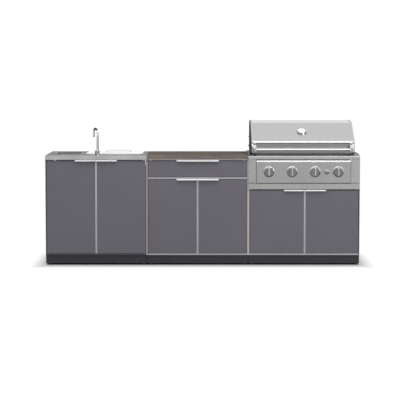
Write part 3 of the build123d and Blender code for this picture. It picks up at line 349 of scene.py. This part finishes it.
def cap_metal(plain_colour, coat_and_shade_colour):
    """The hood's cast ends: steel-coloured rims, outer faces in a dull dark coat, and the left rim
    painted the same dark as shade.
    """
    material = brushed(plain_colour, roughness=0.32, grain="Y")
    tree = material.node_tree
    shader = tree.nodes["Principled BSDF"]
    low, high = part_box("hood_end_caps")
    bolt_head, rim_width, face_margin = 4 * MM, 5.5 * MM, 1 * MM
    coat_roughness, coat_sheen, plain_sheen = 0.9, 0.05, 0.5
    middle = middle_of("hood_end_caps").x
    outer = high.x - middle - bolt_head - face_margin
    away = maths(tree, "ABSOLUTE", maths(tree, "SUBTRACT", axis_value(tree, "X"), middle))
    # painted shade: the left rim is darkened like the coated outer faces
    shaded_left_rim = maths(tree, "LESS_THAN", axis_value(tree, "X"), low.x + bolt_head + rim_width)
    side = maths(tree, "MAXIMUM", shaded_left_rim, maths(tree, "GREATER_THAN", away, outer))
    repaint(material, side, coat_and_shade_colour, 0.0)
    bare_gloss = shader.inputs["Roughness"].links[0].from_socket
    gloss = maths(tree, "MAXIMUM", bare_gloss, maths(tree, "MULTIPLY", side, coat_roughness))
    tree.links.new(gloss, shader.inputs["Roughness"])
    sheen = spread(tree, side, (0.0, 1.0), (plain_sheen, coat_sheen))
    tree.links.new(sheen, shader.inputs["Specular IOR Level"])
    return material


def hood_metal(colour, shaded_colour):
    """The hood's steel: a painted highlight along its crown, and painted shade on the upright front
    under the roll.
    """
    under_roll, roll_fade = 72 * MM, 2 * MM
    crown_drop, crown_fade, crown_highlight = 17 * MM, 3 * MM, 1.4
    material = brushed(colour, roughness=0.26)
    tree = material.node_tree
    low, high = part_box("hood_skin")
    edge = low.z + under_roll
    # painted shade on the upright front under the roll
    repaint(material, fade(tree, "Z", edge, edge - roll_fade), shaded_colour)
    crown = high.z - crown_drop
    crown_highlight_mask = fade(tree, "Z", crown - crown_fade, crown + crown_fade)
    # painted highlight along the crown
    repaint(material, crown_highlight_mask, shade(colour, crown_highlight))
    return material


def handle_steel(colour, cheek_shade_colour):
    """The handle: bright bar and brackets, with painted shade on the brackets' cheeks."""
    square_enough = 0.8  # of facing straight along the row
    material = brushed(colour, roughness=0.24)
    tree = material.node_tree
    shaded_cheeks = maths(tree, "GREATER_THAN", maths(tree, "ABSOLUTE", facing(tree, "X")), square_enough)
    # painted shade on the faces that look along the row
    repaint(material, shaded_cheeks, cheek_shade_colour, 0.0)
    return material


def bezel_finish(colour, shaded_lower_colour):
    """The knobs' polished rings: bright above the knobs' centres, and darkened below them by painted
    shade.
    """
    half_fade = 9 * MM
    material = polished(colour, 0.12)
    tree = material.node_tree
    middle = middle_of("knob_1").z
    # painted shade on the lower half of each ring
    repaint(material, fade(tree, "Z", middle + half_fade, middle - half_fade), shaded_lower_colour)
    return material


def panel_steel(colour, edge_shadow_colour, nose_highlight_colour):
    """The control panel's steel, with a painted highlight on its rounded nose and a painted shadow
    along its lower edge.
    """
    shadow_height = 3.5 * MM
    nose_reach = 7 * MM
    nose_top, nose_metal = 2.5 * MM, 0.6
    material = brushed(colour, roughness=0.28)
    tree = material.node_tree
    low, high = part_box("control_panel")
    # painted shadow along the lower edge
    repaint(material, fade(tree, "Z", low.z + 2 * shadow_height, low.z + shadow_height), edge_shadow_colour)
    under_top = fade(tree, "Z", high.z - nose_top, high.z - 2 * nose_top)
    in_front = maths(tree, "LESS_THAN", axis_value(tree, "Y"), low.y + nose_reach)
    # painted highlight on the rounded nose
    repaint(material, maths(tree, "MULTIPLY", in_front, under_top), nose_highlight_colour, nose_metal)
    return material


def frame_steel(colour, joint_shade_colour):
    """The grill's front frame, with painted shade along the joint between its stiles and its lower
    rail.
    """
    joint_rise, joint_reach = 3 * MM, 4 * MM
    material = brushed(colour, roughness=0.28)
    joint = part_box("control_panel")[0].z + joint_rise
    # painted shade in a band along the joint
    repaint(material, near(material.node_tree, "Z", joint, joint_reach), joint_shade_colour)
    return material


def deck_metal(colour, shaded_colour):
    """The grill deck: a bright ledge with a painted highlight on its front, and painted shade on the
    slope and top behind it.
    """
    slope_rise, slope_fade = 15 * MM, 2 * MM
    front_highlight = 1.16
    material = brushed(colour, roughness=0.2)
    tree = material.node_tree
    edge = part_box("grill_deck")[1].z - slope_rise
    # painted highlight on the forward faces
    repaint(material, spread(tree, facing(tree, "Y"), (-0.5, -0.9)), shade(colour, front_highlight))
    # painted shade on the slope and top under the hood
    repaint(material, fade(tree, "Z", edge, edge + slope_fade), shaded_colour)
    return material


def knob_finish(colour, skirt_shade_colour, line_colour):
    """The knobs' satin chrome: skirts darkened by painted shade, bright grips, and a pointer line high
    on each grip.
    """
    line_half = 0.9 * MM
    line_start, line_end = 12 * MM, 25 * MM
    grip_depth, front_skin = 27.5 * MM, 0.5 * MM
    material = polished(colour, 0.16)
    tree = material.node_tree
    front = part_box("knob_1")[0].y
    # painted shade: the skirt behind the grip is darker than the grip
    shaded_skirt = maths(tree, "GREATER_THAN", axis_value(tree, "Y"), front + grip_depth)
    repaint(material, shaded_skirt, skirt_shade_colour)
    on_front = maths(tree, "LESS_THAN", axis_value(tree, "Y"), front + front_skin)
    line_middle = middle_of("knob_1").z + (line_start + line_end) / 2
    in_length = near(tree, "Z", line_middle, (line_end - line_start) / 2)
    on_line = 0.0
    for number in KNOBS:
        on_this_line = near(tree, "X", middle_of(f"knob_{number}").x, line_half)
        on_line = maths(tree, "MAXIMUM", on_line, on_this_line)
    mask = maths(tree, "MULTIPLY", maths(tree, "MULTIPLY", on_front, in_length), on_line)
    repaint(material, mask, line_colour, 0.0)
    return material


def spout_chrome(colour, crown_reflection_colour):
    """The spout's chrome with painted reflections: light on its left, dark on its right and over the
    crown of its arch.
    """
    crown_drop, crown_fade = 20 * MM, 5 * MM
    left_highlight, left_highlight_metal, right_shadow = 1.2, 0.15, 0.25
    material = polished(colour)
    tree = material.node_tree
    sideways = facing(tree, "X")
    # painted reflection: a lighter left side and a darker right side
    repaint(material, spread(tree, sideways, (0.2, 0.0)), shade(colour, left_highlight), left_highlight_metal)
    repaint(material, spread(tree, sideways, (0.2, 0.6)), shade(colour, right_shadow))
    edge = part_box("tap_spout")[1].z - crown_drop
    # painted reflection: a dark crown on the arch
    repaint(material, fade(tree, "Z", edge - crown_fade, edge), crown_reflection_colour)
    return material


def streaky_stone():
    """Honed brown-grey stone: long soft streaks along the row, small pits, and a front face lightened
    by painted light.
    """
    material, tree, shader = new_material()
    bent = noise(tree, place(tree), 6.0, 3.0)
    shift = add(tree, "CombineXYZ", {"X": 0.0, "Y": bent, "Z": bent}).outputs[0]
    stretched = place(tree, (1.6, 14.0, 22.0))
    drift = add(tree, "VectorMath", {0: stretched, 1: shift}, operation="ADD").outputs[0]
    streaks = noise(tree, drift, 2.6, 6.0, 0.62)
    fine = noise(tree, place(tree, (20.0, 160.0, 160.0)), 1.0, 4.0, 0.6)
    ramp = add(tree, "ValToRGB", {0: streaks})
    stops = ramp.color_ramp.elements
    stops[0].position, stops[0].color = 0.3, linear(76, 68, 63)
    stops[1].position, stops[1].color = 0.72, linear(124, 115, 107)
    middle_stop = stops.new(0.5)
    middle_stop.color = linear(91, 85, 81)
    fine_share = spread(tree, fine, (0.45, 0.75), (0.0, 0.35))
    base = mix(tree, fine_share, ramp.outputs[0], linear(131, 122, 116))
    tree.links.new(base, shader.inputs["Base Color"])
    tree.links.new(spread(tree, fine, (0.3, 0.7), (0.5, 0.66)), shader.inputs["Roughness"])
    shader.inputs["Specular IOR Level"].default_value = 0.0
    raise_surface(tree, shader, fine, 0.05 * MM)
    front_skin, front_light_share = 1 * MM, 0.4
    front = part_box("middle_counter")[0].y + front_skin
    on_front = maths(tree, "LESS_THAN", axis_value(tree, "Y"), front)
    # painted light: the front face is lighter than the top
    repaint(material, maths(tree, "MULTIPLY", on_front, front_light_share), linear(136, 125, 122))
    return material


def burner_steel(colour):
    """Steel burner tube with heat tint, and rows of ports drawn as dark spots of painted shade."""
    port_pitch = 9 * MM
    port_reach = 0.16  # of the pitch
    port_rise, port_half = 4 * MM, 1.6 * MM
    material = brushed(colour, roughness=0.38, grain="Y")
    tree = material.node_tree
    repaint(material, noise(tree, place(tree), 9.0, 3.0), linear(150, 118, 84))
    along = maths(tree, "FRACT", maths(tree, "DIVIDE", axis_value(tree, "Y"), port_pitch))
    from_port = maths(tree, "ABSOLUTE", maths(tree, "SUBTRACT", along, 0.5))
    near_port = maths(tree, "LESS_THAN", from_port, port_reach)
    in_row = near(tree, "Z", middle_of("burners").z + port_rise, port_half)
    # painted shade: dark spots stand in for the ports
    repaint(material, maths(tree, "MULTIPLY", near_port, in_row), linear(18, 16, 15))
    return material


def strainer_steel(colour):
    """The drain's steel, with a grid of small holes in the strainer on top, drawn as dark spots of
    painted shade.
    """
    pitch = 6 * MM
    hole_radius = 0.3  # of the pitch
    plate_radius, plate_depth = 20 * MM, 14 * MM
    material = brushed(colour, roughness=0.3)
    tree = material.node_tree
    centre = middle_of("sink_drain")
    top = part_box("sink_drain")[1].z - plate_depth
    cell = []
    offsets = []
    for axis, middle in (("X", centre.x), ("Y", centre.y)):
        offset = maths(tree, "SUBTRACT", axis_value(tree, axis), middle)
        offsets.append(maths(tree, "POWER", offset, 2.0))
        in_cell = maths(tree, "FRACT", maths(tree, "DIVIDE", offset, pitch))
        from_hole = maths(tree, "ABSOLUTE", maths(tree, "SUBTRACT", in_cell, 0.5))
        cell.append(maths(tree, "POWER", from_hole, 2.0))
    in_hole = maths(tree, "LESS_THAN", maths(tree, "ADD", *cell), hole_radius ** 2)
    in_plate = maths(tree, "LESS_THAN", maths(tree, "ADD", *offsets), plate_radius ** 2)
    on_top = maths(tree, "GREATER_THAN", axis_value(tree, "Z"), top)
    mask = maths(tree, "MULTIPLY", maths(tree, "MULTIPLY", in_hole, in_plate), on_top)
    # painted shade: dark spots stand in for the holes
    repaint(material, mask, linear(16, 16, 17))
    return material


def heated_steel(colour):
    """Steel from inside the grill, browned and dulled by fat and heat in patches."""
    material = brushed(colour, roughness=0.4, smear=0.08)
    tree = material.node_tree
    patches = spread(tree, noise(tree, place(tree), 5.0, 5.0, 0.65), (0.45, 0.75), (0.0, 0.55))
    repaint(material, patches, linear(112, 92, 72))
    return material


# ---------------------------------------------------------------- the table of materials
SLATE = linear(104, 101, 110)
EDGE_STRIP = linear(235, 233, 238)
STEEL = linear(203, 203, 204)

materials = {
    "cabinet_aluminium": painted(linear(112, 110, 117), 0.45, metal=0.2),
    "side_panels": side_panel_paint(SLATE),
    "frame_aluminium": rail_metal(linear(205, 203, 206), SLATE),
    "plinth_paint": painted(linear(40, 41, 46), 0.5),
    "foot_plastic": moulded(linear(34, 34, 35), 0.6, 0.06 * MM),
    "pull_metal": brushed(linear(252, 252, 253), 0.35, metal=0.1),
    "stainless": brushed(linear(208, 208, 209), 0.28),
    "hood_steel": hood_metal(linear(200, 200, 201), linear(172, 172, 173)),
    "deck_steel": deck_metal(linear(214, 214, 215), linear(74, 74, 76)),
    "counter_steel": counter_steel(linear(216, 216, 217), linear(127, 128, 126)),
    # painted shade: a darker copy of the stainless for the insides of the sink bowl and the ice bin
    "stainless_deep": brushed(linear(178, 178, 178), 0.3, "Y"),
    "heated_steel": heated_steel(linear(186, 184, 180)),
    "counter_board": board(linear(176, 146, 108)),
    "counter_stone": streaky_stone(),
    "tap_chrome": polished(linear(232, 232, 235)),
    "spout_chrome": spout_chrome(linear(232, 232, 235), linear(26, 25, 24)),
    "lid_plastic": moulded(linear(240, 240, 235), 0.4),
    "handle_plastic": moulded(linear(206, 206, 203), 0.4),
    "knob_metal": knob_finish(linear(250, 250, 251), linear(168, 168, 170), linear(30, 30, 32)),
    "bezel_metal": bezel_finish(linear(254, 254, 255), linear(108, 108, 110)),
    "panel_steel": panel_steel(STEEL, linear(118, 118, 119), linear(252, 252, 253)),
    "frame_steel": frame_steel(linear(208, 208, 209), linear(172, 172, 173)),
    "handle_steel": handle_steel(linear(228, 228, 229), linear(40, 40, 42)),
    "button_metal": polished(linear(225, 225, 226), 0.1),
    "cap_casting": cap_metal(STEEL, linear(84, 84, 86)),
    "gas_brass": brushed(linear(206, 172, 104), 0.32),
    "grate_iron": cast_iron(linear(44, 43, 42)),
    "gauge_metal": brushed(linear(204, 204, 204), 0.22),
    "fixing_steel": brushed(linear(170, 170, 172), 0.35, "Y"),
    "burner_steel": burner_steel(linear(150, 146, 140)),
    "strainer_steel": strainer_steel(linear(190, 190, 190)),
    "glass": clear_glass(),
    "dial_white": moulded(linear(240, 238, 234), 0.5),
    "dial_ink": moulded(linear(40, 38, 40), 0.5),
    "dial_red": moulded(linear(196, 60, 66), 0.45),
    "dark_rubber": moulded(linear(26, 26, 27), 0.65, 0.06 * MM),
    "slate_plain": painted(SLATE, 0.4, metal=0.2),
}
for cabinet in CABINETS:
    materials[f"{cabinet}_doors"] = door_paint(SLATE, cabinet, EDGE_STRIP)
for name, material in materials.items():
    material.name = name

own_finish = {
    "sink_bowl": "stainless_deep", "ice_bin": "stainless_deep", "knob_bezels": "bezel_metal",
    "burners": "burner_steel", "drawer_front": "slate_plain", "side_panels": "side_panels",
    "firebox": "heated_steel", "flame_tamers": "heated_steel", "drip_tray": "heated_steel",
    "sink_drain": "strainer_steel", "igniter_button": "button_metal", "hood_skin": "hood_steel",
    "sink_counter": "counter_steel", "grill_deck": "deck_steel", "hood_handle": "handle_steel",
    "tap_spout": "spout_chrome", "lid_handle": "handle_plastic", "control_panel": "panel_steel",
    "grill_front_frame": "frame_steel",
}
for cabinet in CABINETS:
    for side in SIDES:
        own_finish[f"{cabinet}_{side}_door"] = f"{cabinet}_doors"


def dress_nodes():
    """Give every CAD node its material."""
    slots = {part["node"]: part["material_slot"] for part in frame["record"]["subparts"]}
    for name, piece in nodes.items():
        piece.data.materials.clear()
        piece.data.materials.append(materials[own_finish.get(name, slots[name])])


dress_nodes()


# ---------------------------------------------------------------- mesh helpers
def new_piece(name, mesh_builder, body, material):
    """A piece made by a bmesh function, which rides on a body and takes a finish."""
    mesh = bpy.data.meshes.new(name)
    work = bmesh.new()
    mesh_builder(work)
    bmesh.ops.recalc_face_normals(work, faces=work.faces)
    work.to_mesh(mesh)
    work.free()
    piece = bpy.data.objects.new(name, mesh)
    bpy.context.scene.collection.objects.link(piece)
    mesh.materials.append(material)
    mesh.shade_flat()
    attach(piece, body)


def lathe(work, profile, centre, out, steps=40):
    """Spin (radius, height) pairs about an outward direction, and close both ends."""
    turn = Vector(out).to_track_quat("Z", "Y").to_matrix()
    rings = []
    for radius, height in profile:
        ring = []
        for step in range(steps):
            angle = 2 * math.pi * step / steps
            spot = turn @ Vector((radius * math.cos(angle), radius * math.sin(angle), height))
            ring.append(work.verts.new(Vector(centre) + spot))
        rings.append(ring)
    for low_ring, high_ring in zip(rings, rings[1:]):
        for step in range(steps):
            after = (step + 1) % steps
            work.faces.new((low_ring[step], low_ring[after], high_ring[after], high_ring[step]))
    work.faces.new(rings[0])
    work.faces.new(rings[-1])


def brick(work, centre, axes, size):
    """A small block whose edges run along three given directions."""
    turn = Matrix(axes).transposed().to_4x4()
    bmesh.ops.create_cube(work, size=1.0,
                          matrix=Matrix.Translation(centre) @ turn @ Matrix.Diagonal((*size, 1.0)))


# ---------------------------------------------------------------- the hood's gauge
GAUGE_SWEEP = 135  # degrees to each side of the top
GAUGE_NUMBERS = 7
TICKS_PER_NUMBER = 3
FACE_RUN, FACE_RISE = 240.0, 143.0  # of the hood's sloping face


def gauge_frame():
    """The middle of the gauge's recessed floor, and its directions across, up and out."""
    recess = 3 * MM
    across = Vector((1.0, 0.0, 0.0))
    up = Vector((0.0, FACE_RUN, FACE_RISE)).normalized()
    out = across.cross(up)
    spots = [vertex.co for vertex in nodes["thermometer"].data.vertices]
    rises = [spot.dot(up) for spot in spots]
    top = max(spot.dot(out) for spot in spots)
    middle = across * middle_of("thermometer").x + up * (min(rises) + max(rises)) / 2
    return middle + out * (top - recess), across, up, out


def around(frame_axes, degrees, radius, lift):
    """A point on the dial, and the directions sideways and outward there; 0 degrees is the top."""
    centre, across, up, out = frame_axes
    angle = math.radians(degrees)
    outward = up * math.cos(angle) + across * math.sin(angle)
    sideways = across * math.cos(angle) - up * math.sin(angle)
    return centre + outward * radius + out * lift, sideways, outward


def make_gauge():
    """A white dial with ticks, plain numbers, a warm band, a pointer and a glass."""
    dial_radius, dial_thickness = 32.5 * MM, 0.5 * MM
    glass_radius, glass_low, glass_high = 33.2 * MM, 2 * MM, 2.5 * MM
    tick_end, band_radius, number_radius = 30.5 * MM, 22 * MM, 16.5 * MM
    print_lift, print_depth = 0.6 * MM, 0.2 * MM
    number_size, number_turn = 6 * MM, 2 * GAUGE_SWEEP / (GAUGE_NUMBERS - 1)
    band_start, band_turn, band_steps = 20, 3, 24  # starts and turns are in degrees
    band_width, band_height = 1.3 * MM, 2.2 * MM
    pointer_heading, pointer_steps = -70, 12
    pointer_width, pointer_taper = 2.4 * MM, 0.17 * MM
    pointer_start, pointer_pitch, pointer_lift = 2 * MM, 1.9 * MM, 1.1 * MM
    slice_length, slice_depth = 1.95 * MM, 0.3 * MM
    hub_profile = [(3.4 * MM, 0.6 * MM), (3.4 * MM, 1.3 * MM), (2.6 * MM, 1.6 * MM)]  # radius, height
    axes = gauge_frame()
    centre, across, up, out = axes
    slot, body = "gauge_metal", "hood"

    def dial(work):
        lathe(work, [(dial_radius, 0.0), (dial_radius, dial_thickness)], centre, out, 64)

    def ticks(work):
        for step in range(TICKS_PER_NUMBER * (GAUGE_NUMBERS - 1) + 1):
            long_one = step % TICKS_PER_NUMBER == 0
            length = 5 * MM if long_one else 3 * MM
            width = 1.1 * MM if long_one else 0.6 * MM
            degrees = -GAUGE_SWEEP + step * number_turn / TICKS_PER_NUMBER
            spot, sideways, outward = around(axes, degrees, tick_end - length / 2, print_lift)
            brick(work, spot, (sideways, outward, out), (width, length, print_depth))

    def warm_band(work):
        for step in range(band_steps):
            degrees = band_start + step * band_turn
            spot, sideways, outward = around(axes, degrees, band_radius, print_lift)
            brick(work, spot, (sideways, outward, out), (band_width, band_height, print_depth))

    def numbers(work):
        for step in range(GAUGE_NUMBERS):
            text = bpy.data.curves.new("digits", "FONT")
            text.body = str(100 * step)
            text.size = number_size
            text.align_x, text.align_y = "CENTER", "CENTER"
            text.extrude = print_depth / 2
            holder = bpy.data.objects.new("digits", text)
            flat = bpy.data.meshes.new_from_object(holder)
            spot = around(axes, -GAUGE_SWEEP + step * number_turn, number_radius, print_lift)[0]
            flat.transform(Matrix.Translation(spot) @ Matrix((across, up, out)).transposed().to_4x4())
            work.from_mesh(flat)
            bpy.data.meshes.remove(flat)
            bpy.data.objects.remove(holder)

    def pointer(work):
        for step in range(pointer_steps):
            radius = pointer_start + step * pointer_pitch
            spot, sideways, outward = around(axes, pointer_heading, radius, pointer_lift)
            width = pointer_width - step * pointer_taper
            brick(work, spot, (sideways, outward, out), (width, slice_length, slice_depth))
        lathe(work, hub_profile, centre, out, 24)

    def glass(work):
        lathe(work, [(glass_radius, glass_low), (glass_radius, glass_high)], centre, out, 64)

    new_piece("gauge_dial", dial, body, materials["dial_white"])
    new_piece("gauge_ticks", ticks, body, materials["dial_ink"])
    new_piece("gauge_band", warm_band, body, materials["dial_red"])
    new_piece("gauge_numbers", numbers, body, materials["dial_ink"])
    new_piece("gauge_pointer", pointer, body, materials["dial_red"])
    new_piece("gauge_glass", glass, body, materials["glass"])


# ---------------------------------------------------------------- small trim
def make_panel_marks():
    """Printed marks round each knob, which grow from low to high."""
    bullnose_reach, proud = 8 * MM, 0.15 * MM
    ring_radius, mark_width = 45.5 * MM, 1.3 * MM
    first_heading, mark_turn, mark_count = 90, 25, 10  # heading and turn are in degrees
    first_length, growth = 1.5 * MM, 0.45 * MM
    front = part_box("control_panel")[0].y + bullnose_reach
    out = Vector((0.0, -1.0, 0.0))

    def marks(work):
        for number in KNOBS:
            knob = middle_of(f"knob_{number}")
            for step in range(mark_count):
                angle = math.radians(first_heading - step * mark_turn)
                outward = Vector((math.cos(angle), 0.0, math.sin(angle)))
                length = first_length + step * growth
                spot = Vector((knob.x, front - proud, knob.z)) + outward * (ring_radius + length / 2)
                brick(work, spot, (outward.cross(out), outward, out), (mark_width, length, 2 * proud))

    new_piece("panel_marks", marks, "carcass", materials["dial_ink"])


def make_back_screws():
    """Socket screws along the edges of each back panel."""
    head = [(0.2 * MM, 0.4 * MM), (1.7 * MM, 0.4 * MM), (1.9 * MM, 1.6 * MM), (3.2 * MM, 1.4 * MM),
            (4.2 * MM, 0.7 * MM), (4.5 * MM, 0.0)]  # radius, height
    inset, wall, service_gap = 14 * MM, 8 * MM, 80 * MM
    counters = ("sink_counter", "middle_counter", "grill_deck")
    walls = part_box("side_panels")
    edges = [walls[0].x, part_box("sink_counter")[1].x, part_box("middle_counter")[1].x, walls[1].x]
    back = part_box("back_panels")[1].y
    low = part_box("back_panels")[0].z + inset

    def screws(work):
        for left, right, counter in zip(edges, edges[1:], counters):
            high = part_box(counter)[0].z - service_gap - inset
            middle = ((left + right) / 2, (low + high) / 2)
            for x in (left + wall + inset, middle[0], right - wall - inset):
                for z in (low, middle[1], high):
                    if (x, z) != middle:
                        lathe(work, head, (x, back, z), (0.0, 1.0, 0.0), 18)

    new_piece("back_screws", screws, "carcass", materials["fixing_steel"])


def make_door_bumpers():
    """Two soft pads on the inside of each door, near its free corners."""
    pad = [(5 * MM, 0.0), (5 * MM, 1.2 * MM), (3.6 * MM, 1.9 * MM)]  # radius, height
    from_top, from_side = 12 * MM, 14 * MM
    for cabinet in CABINETS:
        for side in SIDES:
            low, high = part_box(f"{cabinet}_{side}_door")
            x = high.x - from_side if side == "left" else low.x + from_side

            def pads(work):
                for z in (low.z + from_top, high.z - from_top):
                    lathe(work, pad, (x, high.y, z), (0.0, 1.0, 0.0), 20)

            new_piece(f"{cabinet}_{side}_bumpers", pads, f"{cabinet}_{side}_door_body",
                      materials["dark_rubber"])


def make_aerator():
    """The knurled ring and the dark mesh at the spout's end."""
    reach, tube, rim_depth = 60 * MM, 8 * MM, 1 * MM
    grip = tube + 1.4 * MM
    ring_profile = [(tube - 1.5 * MM, 1 * MM), (tube - 1.2 * MM, -1.5 * MM), (grip, -1.2 * MM),
                    (grip, 7 * MM), (tube, 8 * MM)]  # radius, height
    mesh_radius, mesh_low, mesh_high = tube - 1.6 * MM, -1.1 * MM, -0.8 * MM
    rib_count, rib_middle, rib_size = 24, 2.8 * MM, (0.5 * MM, 1 * MM, 6 * MM)
    upright = Vector((0.0, 0.0, 1.0))
    axis = middle_of("tap_body")
    far = [vertex.co for vertex in nodes["tap_spout"].data.vertices
           if math.hypot(vertex.co.x - axis.x, vertex.co.y - axis.y) > reach]
    low = min(spot.z for spot in far)
    rim = [spot for spot in far if spot.z < low + rim_depth]
    end = Vector((sum(spot.x for spot in rim) / len(rim), sum(spot.y for spot in rim) / len(rim), low))

    def ring(work):
        lathe(work, ring_profile, end, upright)
        for step in range(rib_count):
            angle = 2 * math.pi * step / rib_count
            outward = Vector((math.cos(angle), math.sin(angle), 0.0))
            spot = end + outward * grip + upright * rib_middle
            brick(work, spot, (outward, upright.cross(outward), upright), rib_size)

    def mesh_disc(work):
        lathe(work, [(mesh_radius, mesh_low), (mesh_radius, mesh_high)], end, upright)

    new_piece("spout_aerator", ring, "spout", materials["tap_chrome"])
    new_piece("spout_mesh", mesh_disc, "spout", materials["dark_rubber"])


make_gauge()
make_panel_marks()
make_back_screws()
make_door_bumpers()
make_aerator()


# ---------------------------------------------------------------- floor, light and camera
def make_floor():
    """A grey floor: it keeps the row's soft shadow close by and is white to the camera further off."""
    side, grey = 40.0, 0.4
    whitening = (-0.04, 0.12)  # from where to where outside the row's outline the floor turns white
    bpy.ops.mesh.primitive_plane_add(size=1.0)
    floor = bpy.context.object
    floor.name = "floor"
    floor.scale = (side, side, 1.0)
    material = bpy.data.materials.new("floor")
    material.use_nodes = True
    tree = material.node_tree
    tree.nodes.clear()
    diffuse = add(tree, "BsdfDiffuse", {"Color": (grey, grey, grey, 1.0)})
    glow = add(tree, "Emission", {"Color": WHITE, "Strength": 1.0})
    point = add(tree, "SeparateXYZ", {0: add(tree, "NewGeometry").outputs["Position"]})
    from_row = []
    for axis, half in (("X", cad_high.x), ("Y", cad_high.y)):
        from_middle = maths(tree, "ABSOLUTE", point.outputs[axis])
        from_row.append(maths(tree, "SUBTRACT", from_middle, half))
    away = maths(tree, "MAXIMUM", *from_row)
    share = spread(tree, away, whitening)
    seen = maths(tree, "MULTIPLY", add(tree, "LightPath").outputs["Is Camera Ray"], share)
    both = add(tree, "MixShader", {0: seen, 1: diffuse.outputs[0], 2: glow.outputs[0]})
    output = add(tree, "OutputMaterial")
    tree.links.new(both.outputs[0], output.inputs[0])
    floor.data.materials.append(material)


def make_world():
    """White to the camera; for the light a soft studio, dimmer at its horizon and at its sides."""
    back_levels, front_levels = (0.3, 0.95), (0.7, 0.85)  # at the horizon, and higher up
    side_levels = (1.0, 0.3)  # in the middle, and at the sides
    world = bpy.data.worlds.new("studio")
    bpy.context.scene.world = world
    world.use_nodes = True
    tree = world.node_tree
    tree.nodes.clear()
    path = add(tree, "LightPath")
    toward = add(tree, "SeparateXYZ", {0: add(tree, "TexCoord").outputs["Generated"]})
    behind = spread(tree, toward.outputs["Z"], (0.1, 0.3), back_levels)
    in_front = spread(tree, toward.outputs["Z"], (0.0, 0.7), front_levels)
    backwards = spread(tree, toward.outputs["Y"], (-0.25, 0.25))
    blend = maths(tree, "ADD", maths(tree, "MULTIPLY", behind, backwards),
                  maths(tree, "MULTIPLY", in_front, maths(tree, "SUBTRACT", 1.0, backwards)))
    sideways = maths(tree, "ABSOLUTE", toward.outputs["X"])
    level = maths(tree, "MULTIPLY", blend, spread(tree, sideways, (0.5, 0.95), side_levels))
    studio = add(tree, "Background", {"Color": WHITE, "Strength": level})
    white = add(tree, "Background", {"Color": WHITE, "Strength": 1.0})
    both = add(tree, "MixShader", {0: path.outputs["Is Camera Ray"], 1: studio.outputs[0],
                                   2: white.outputs[0]})
    output = add(tree, "OutputWorld")
    tree.links.new(both.outputs[0], output.inputs[0])


def make_lamp(name, place_at, aim, size, watts):
    """A soft rectangular lamp that points at a place."""
    lamp = bpy.data.lights.new(name, "AREA")
    lamp.shape = "RECTANGLE"
    lamp.size, lamp.size_y = size
    lamp.energy = watts
    holder = bpy.data.objects.new(name, lamp)
    bpy.context.scene.collection.objects.link(holder)
    holder.location = place_at
    holder.rotation_euler = (Vector(aim) - Vector(place_at)).to_track_quat("-Z", "Y").to_euler()


def make_camera():
    """A long lens in front of the row and above it; its small shift keeps the uprights parallel."""
    picture_width = 400
    focal = 1457.0  # in pixels of that picture
    sensor_width = 36.0
    distance, height, sideways = 11.621, 1.564, -0.0207
    tilt = 4.01  # degrees down
    camera = bpy.data.cameras.new("camera")
    camera.sensor_width = sensor_width
    camera.lens = sensor_width * focal / picture_width
    camera.shift_y = -0.07
    camera.clip_end = 100.0
    holder = bpy.data.objects.new("camera", camera)
    bpy.context.scene.collection.objects.link(holder)
    holder.location = (sideways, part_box("sink_counter")[0].y - distance, height)
    holder.rotation_euler = (math.radians(90 - tilt), 0.0, 0.0)
    bpy.context.scene.camera = holder


make_floor()
make_world()
make_lamp("softbox", place_at=(0.0, -2.4, 4.6), aim=(0.0, 0.0, 0.7), size=(6.0, 2.4), watts=150.0)
make_lamp("fill", place_at=(5.0, -6.0, 2.2), aim=(0.3, 0.0, 0.5), size=(2.5, 2.5), watts=110.0)
make_camera()
bpy.context.scene.view_settings.view_transform = "Standard"
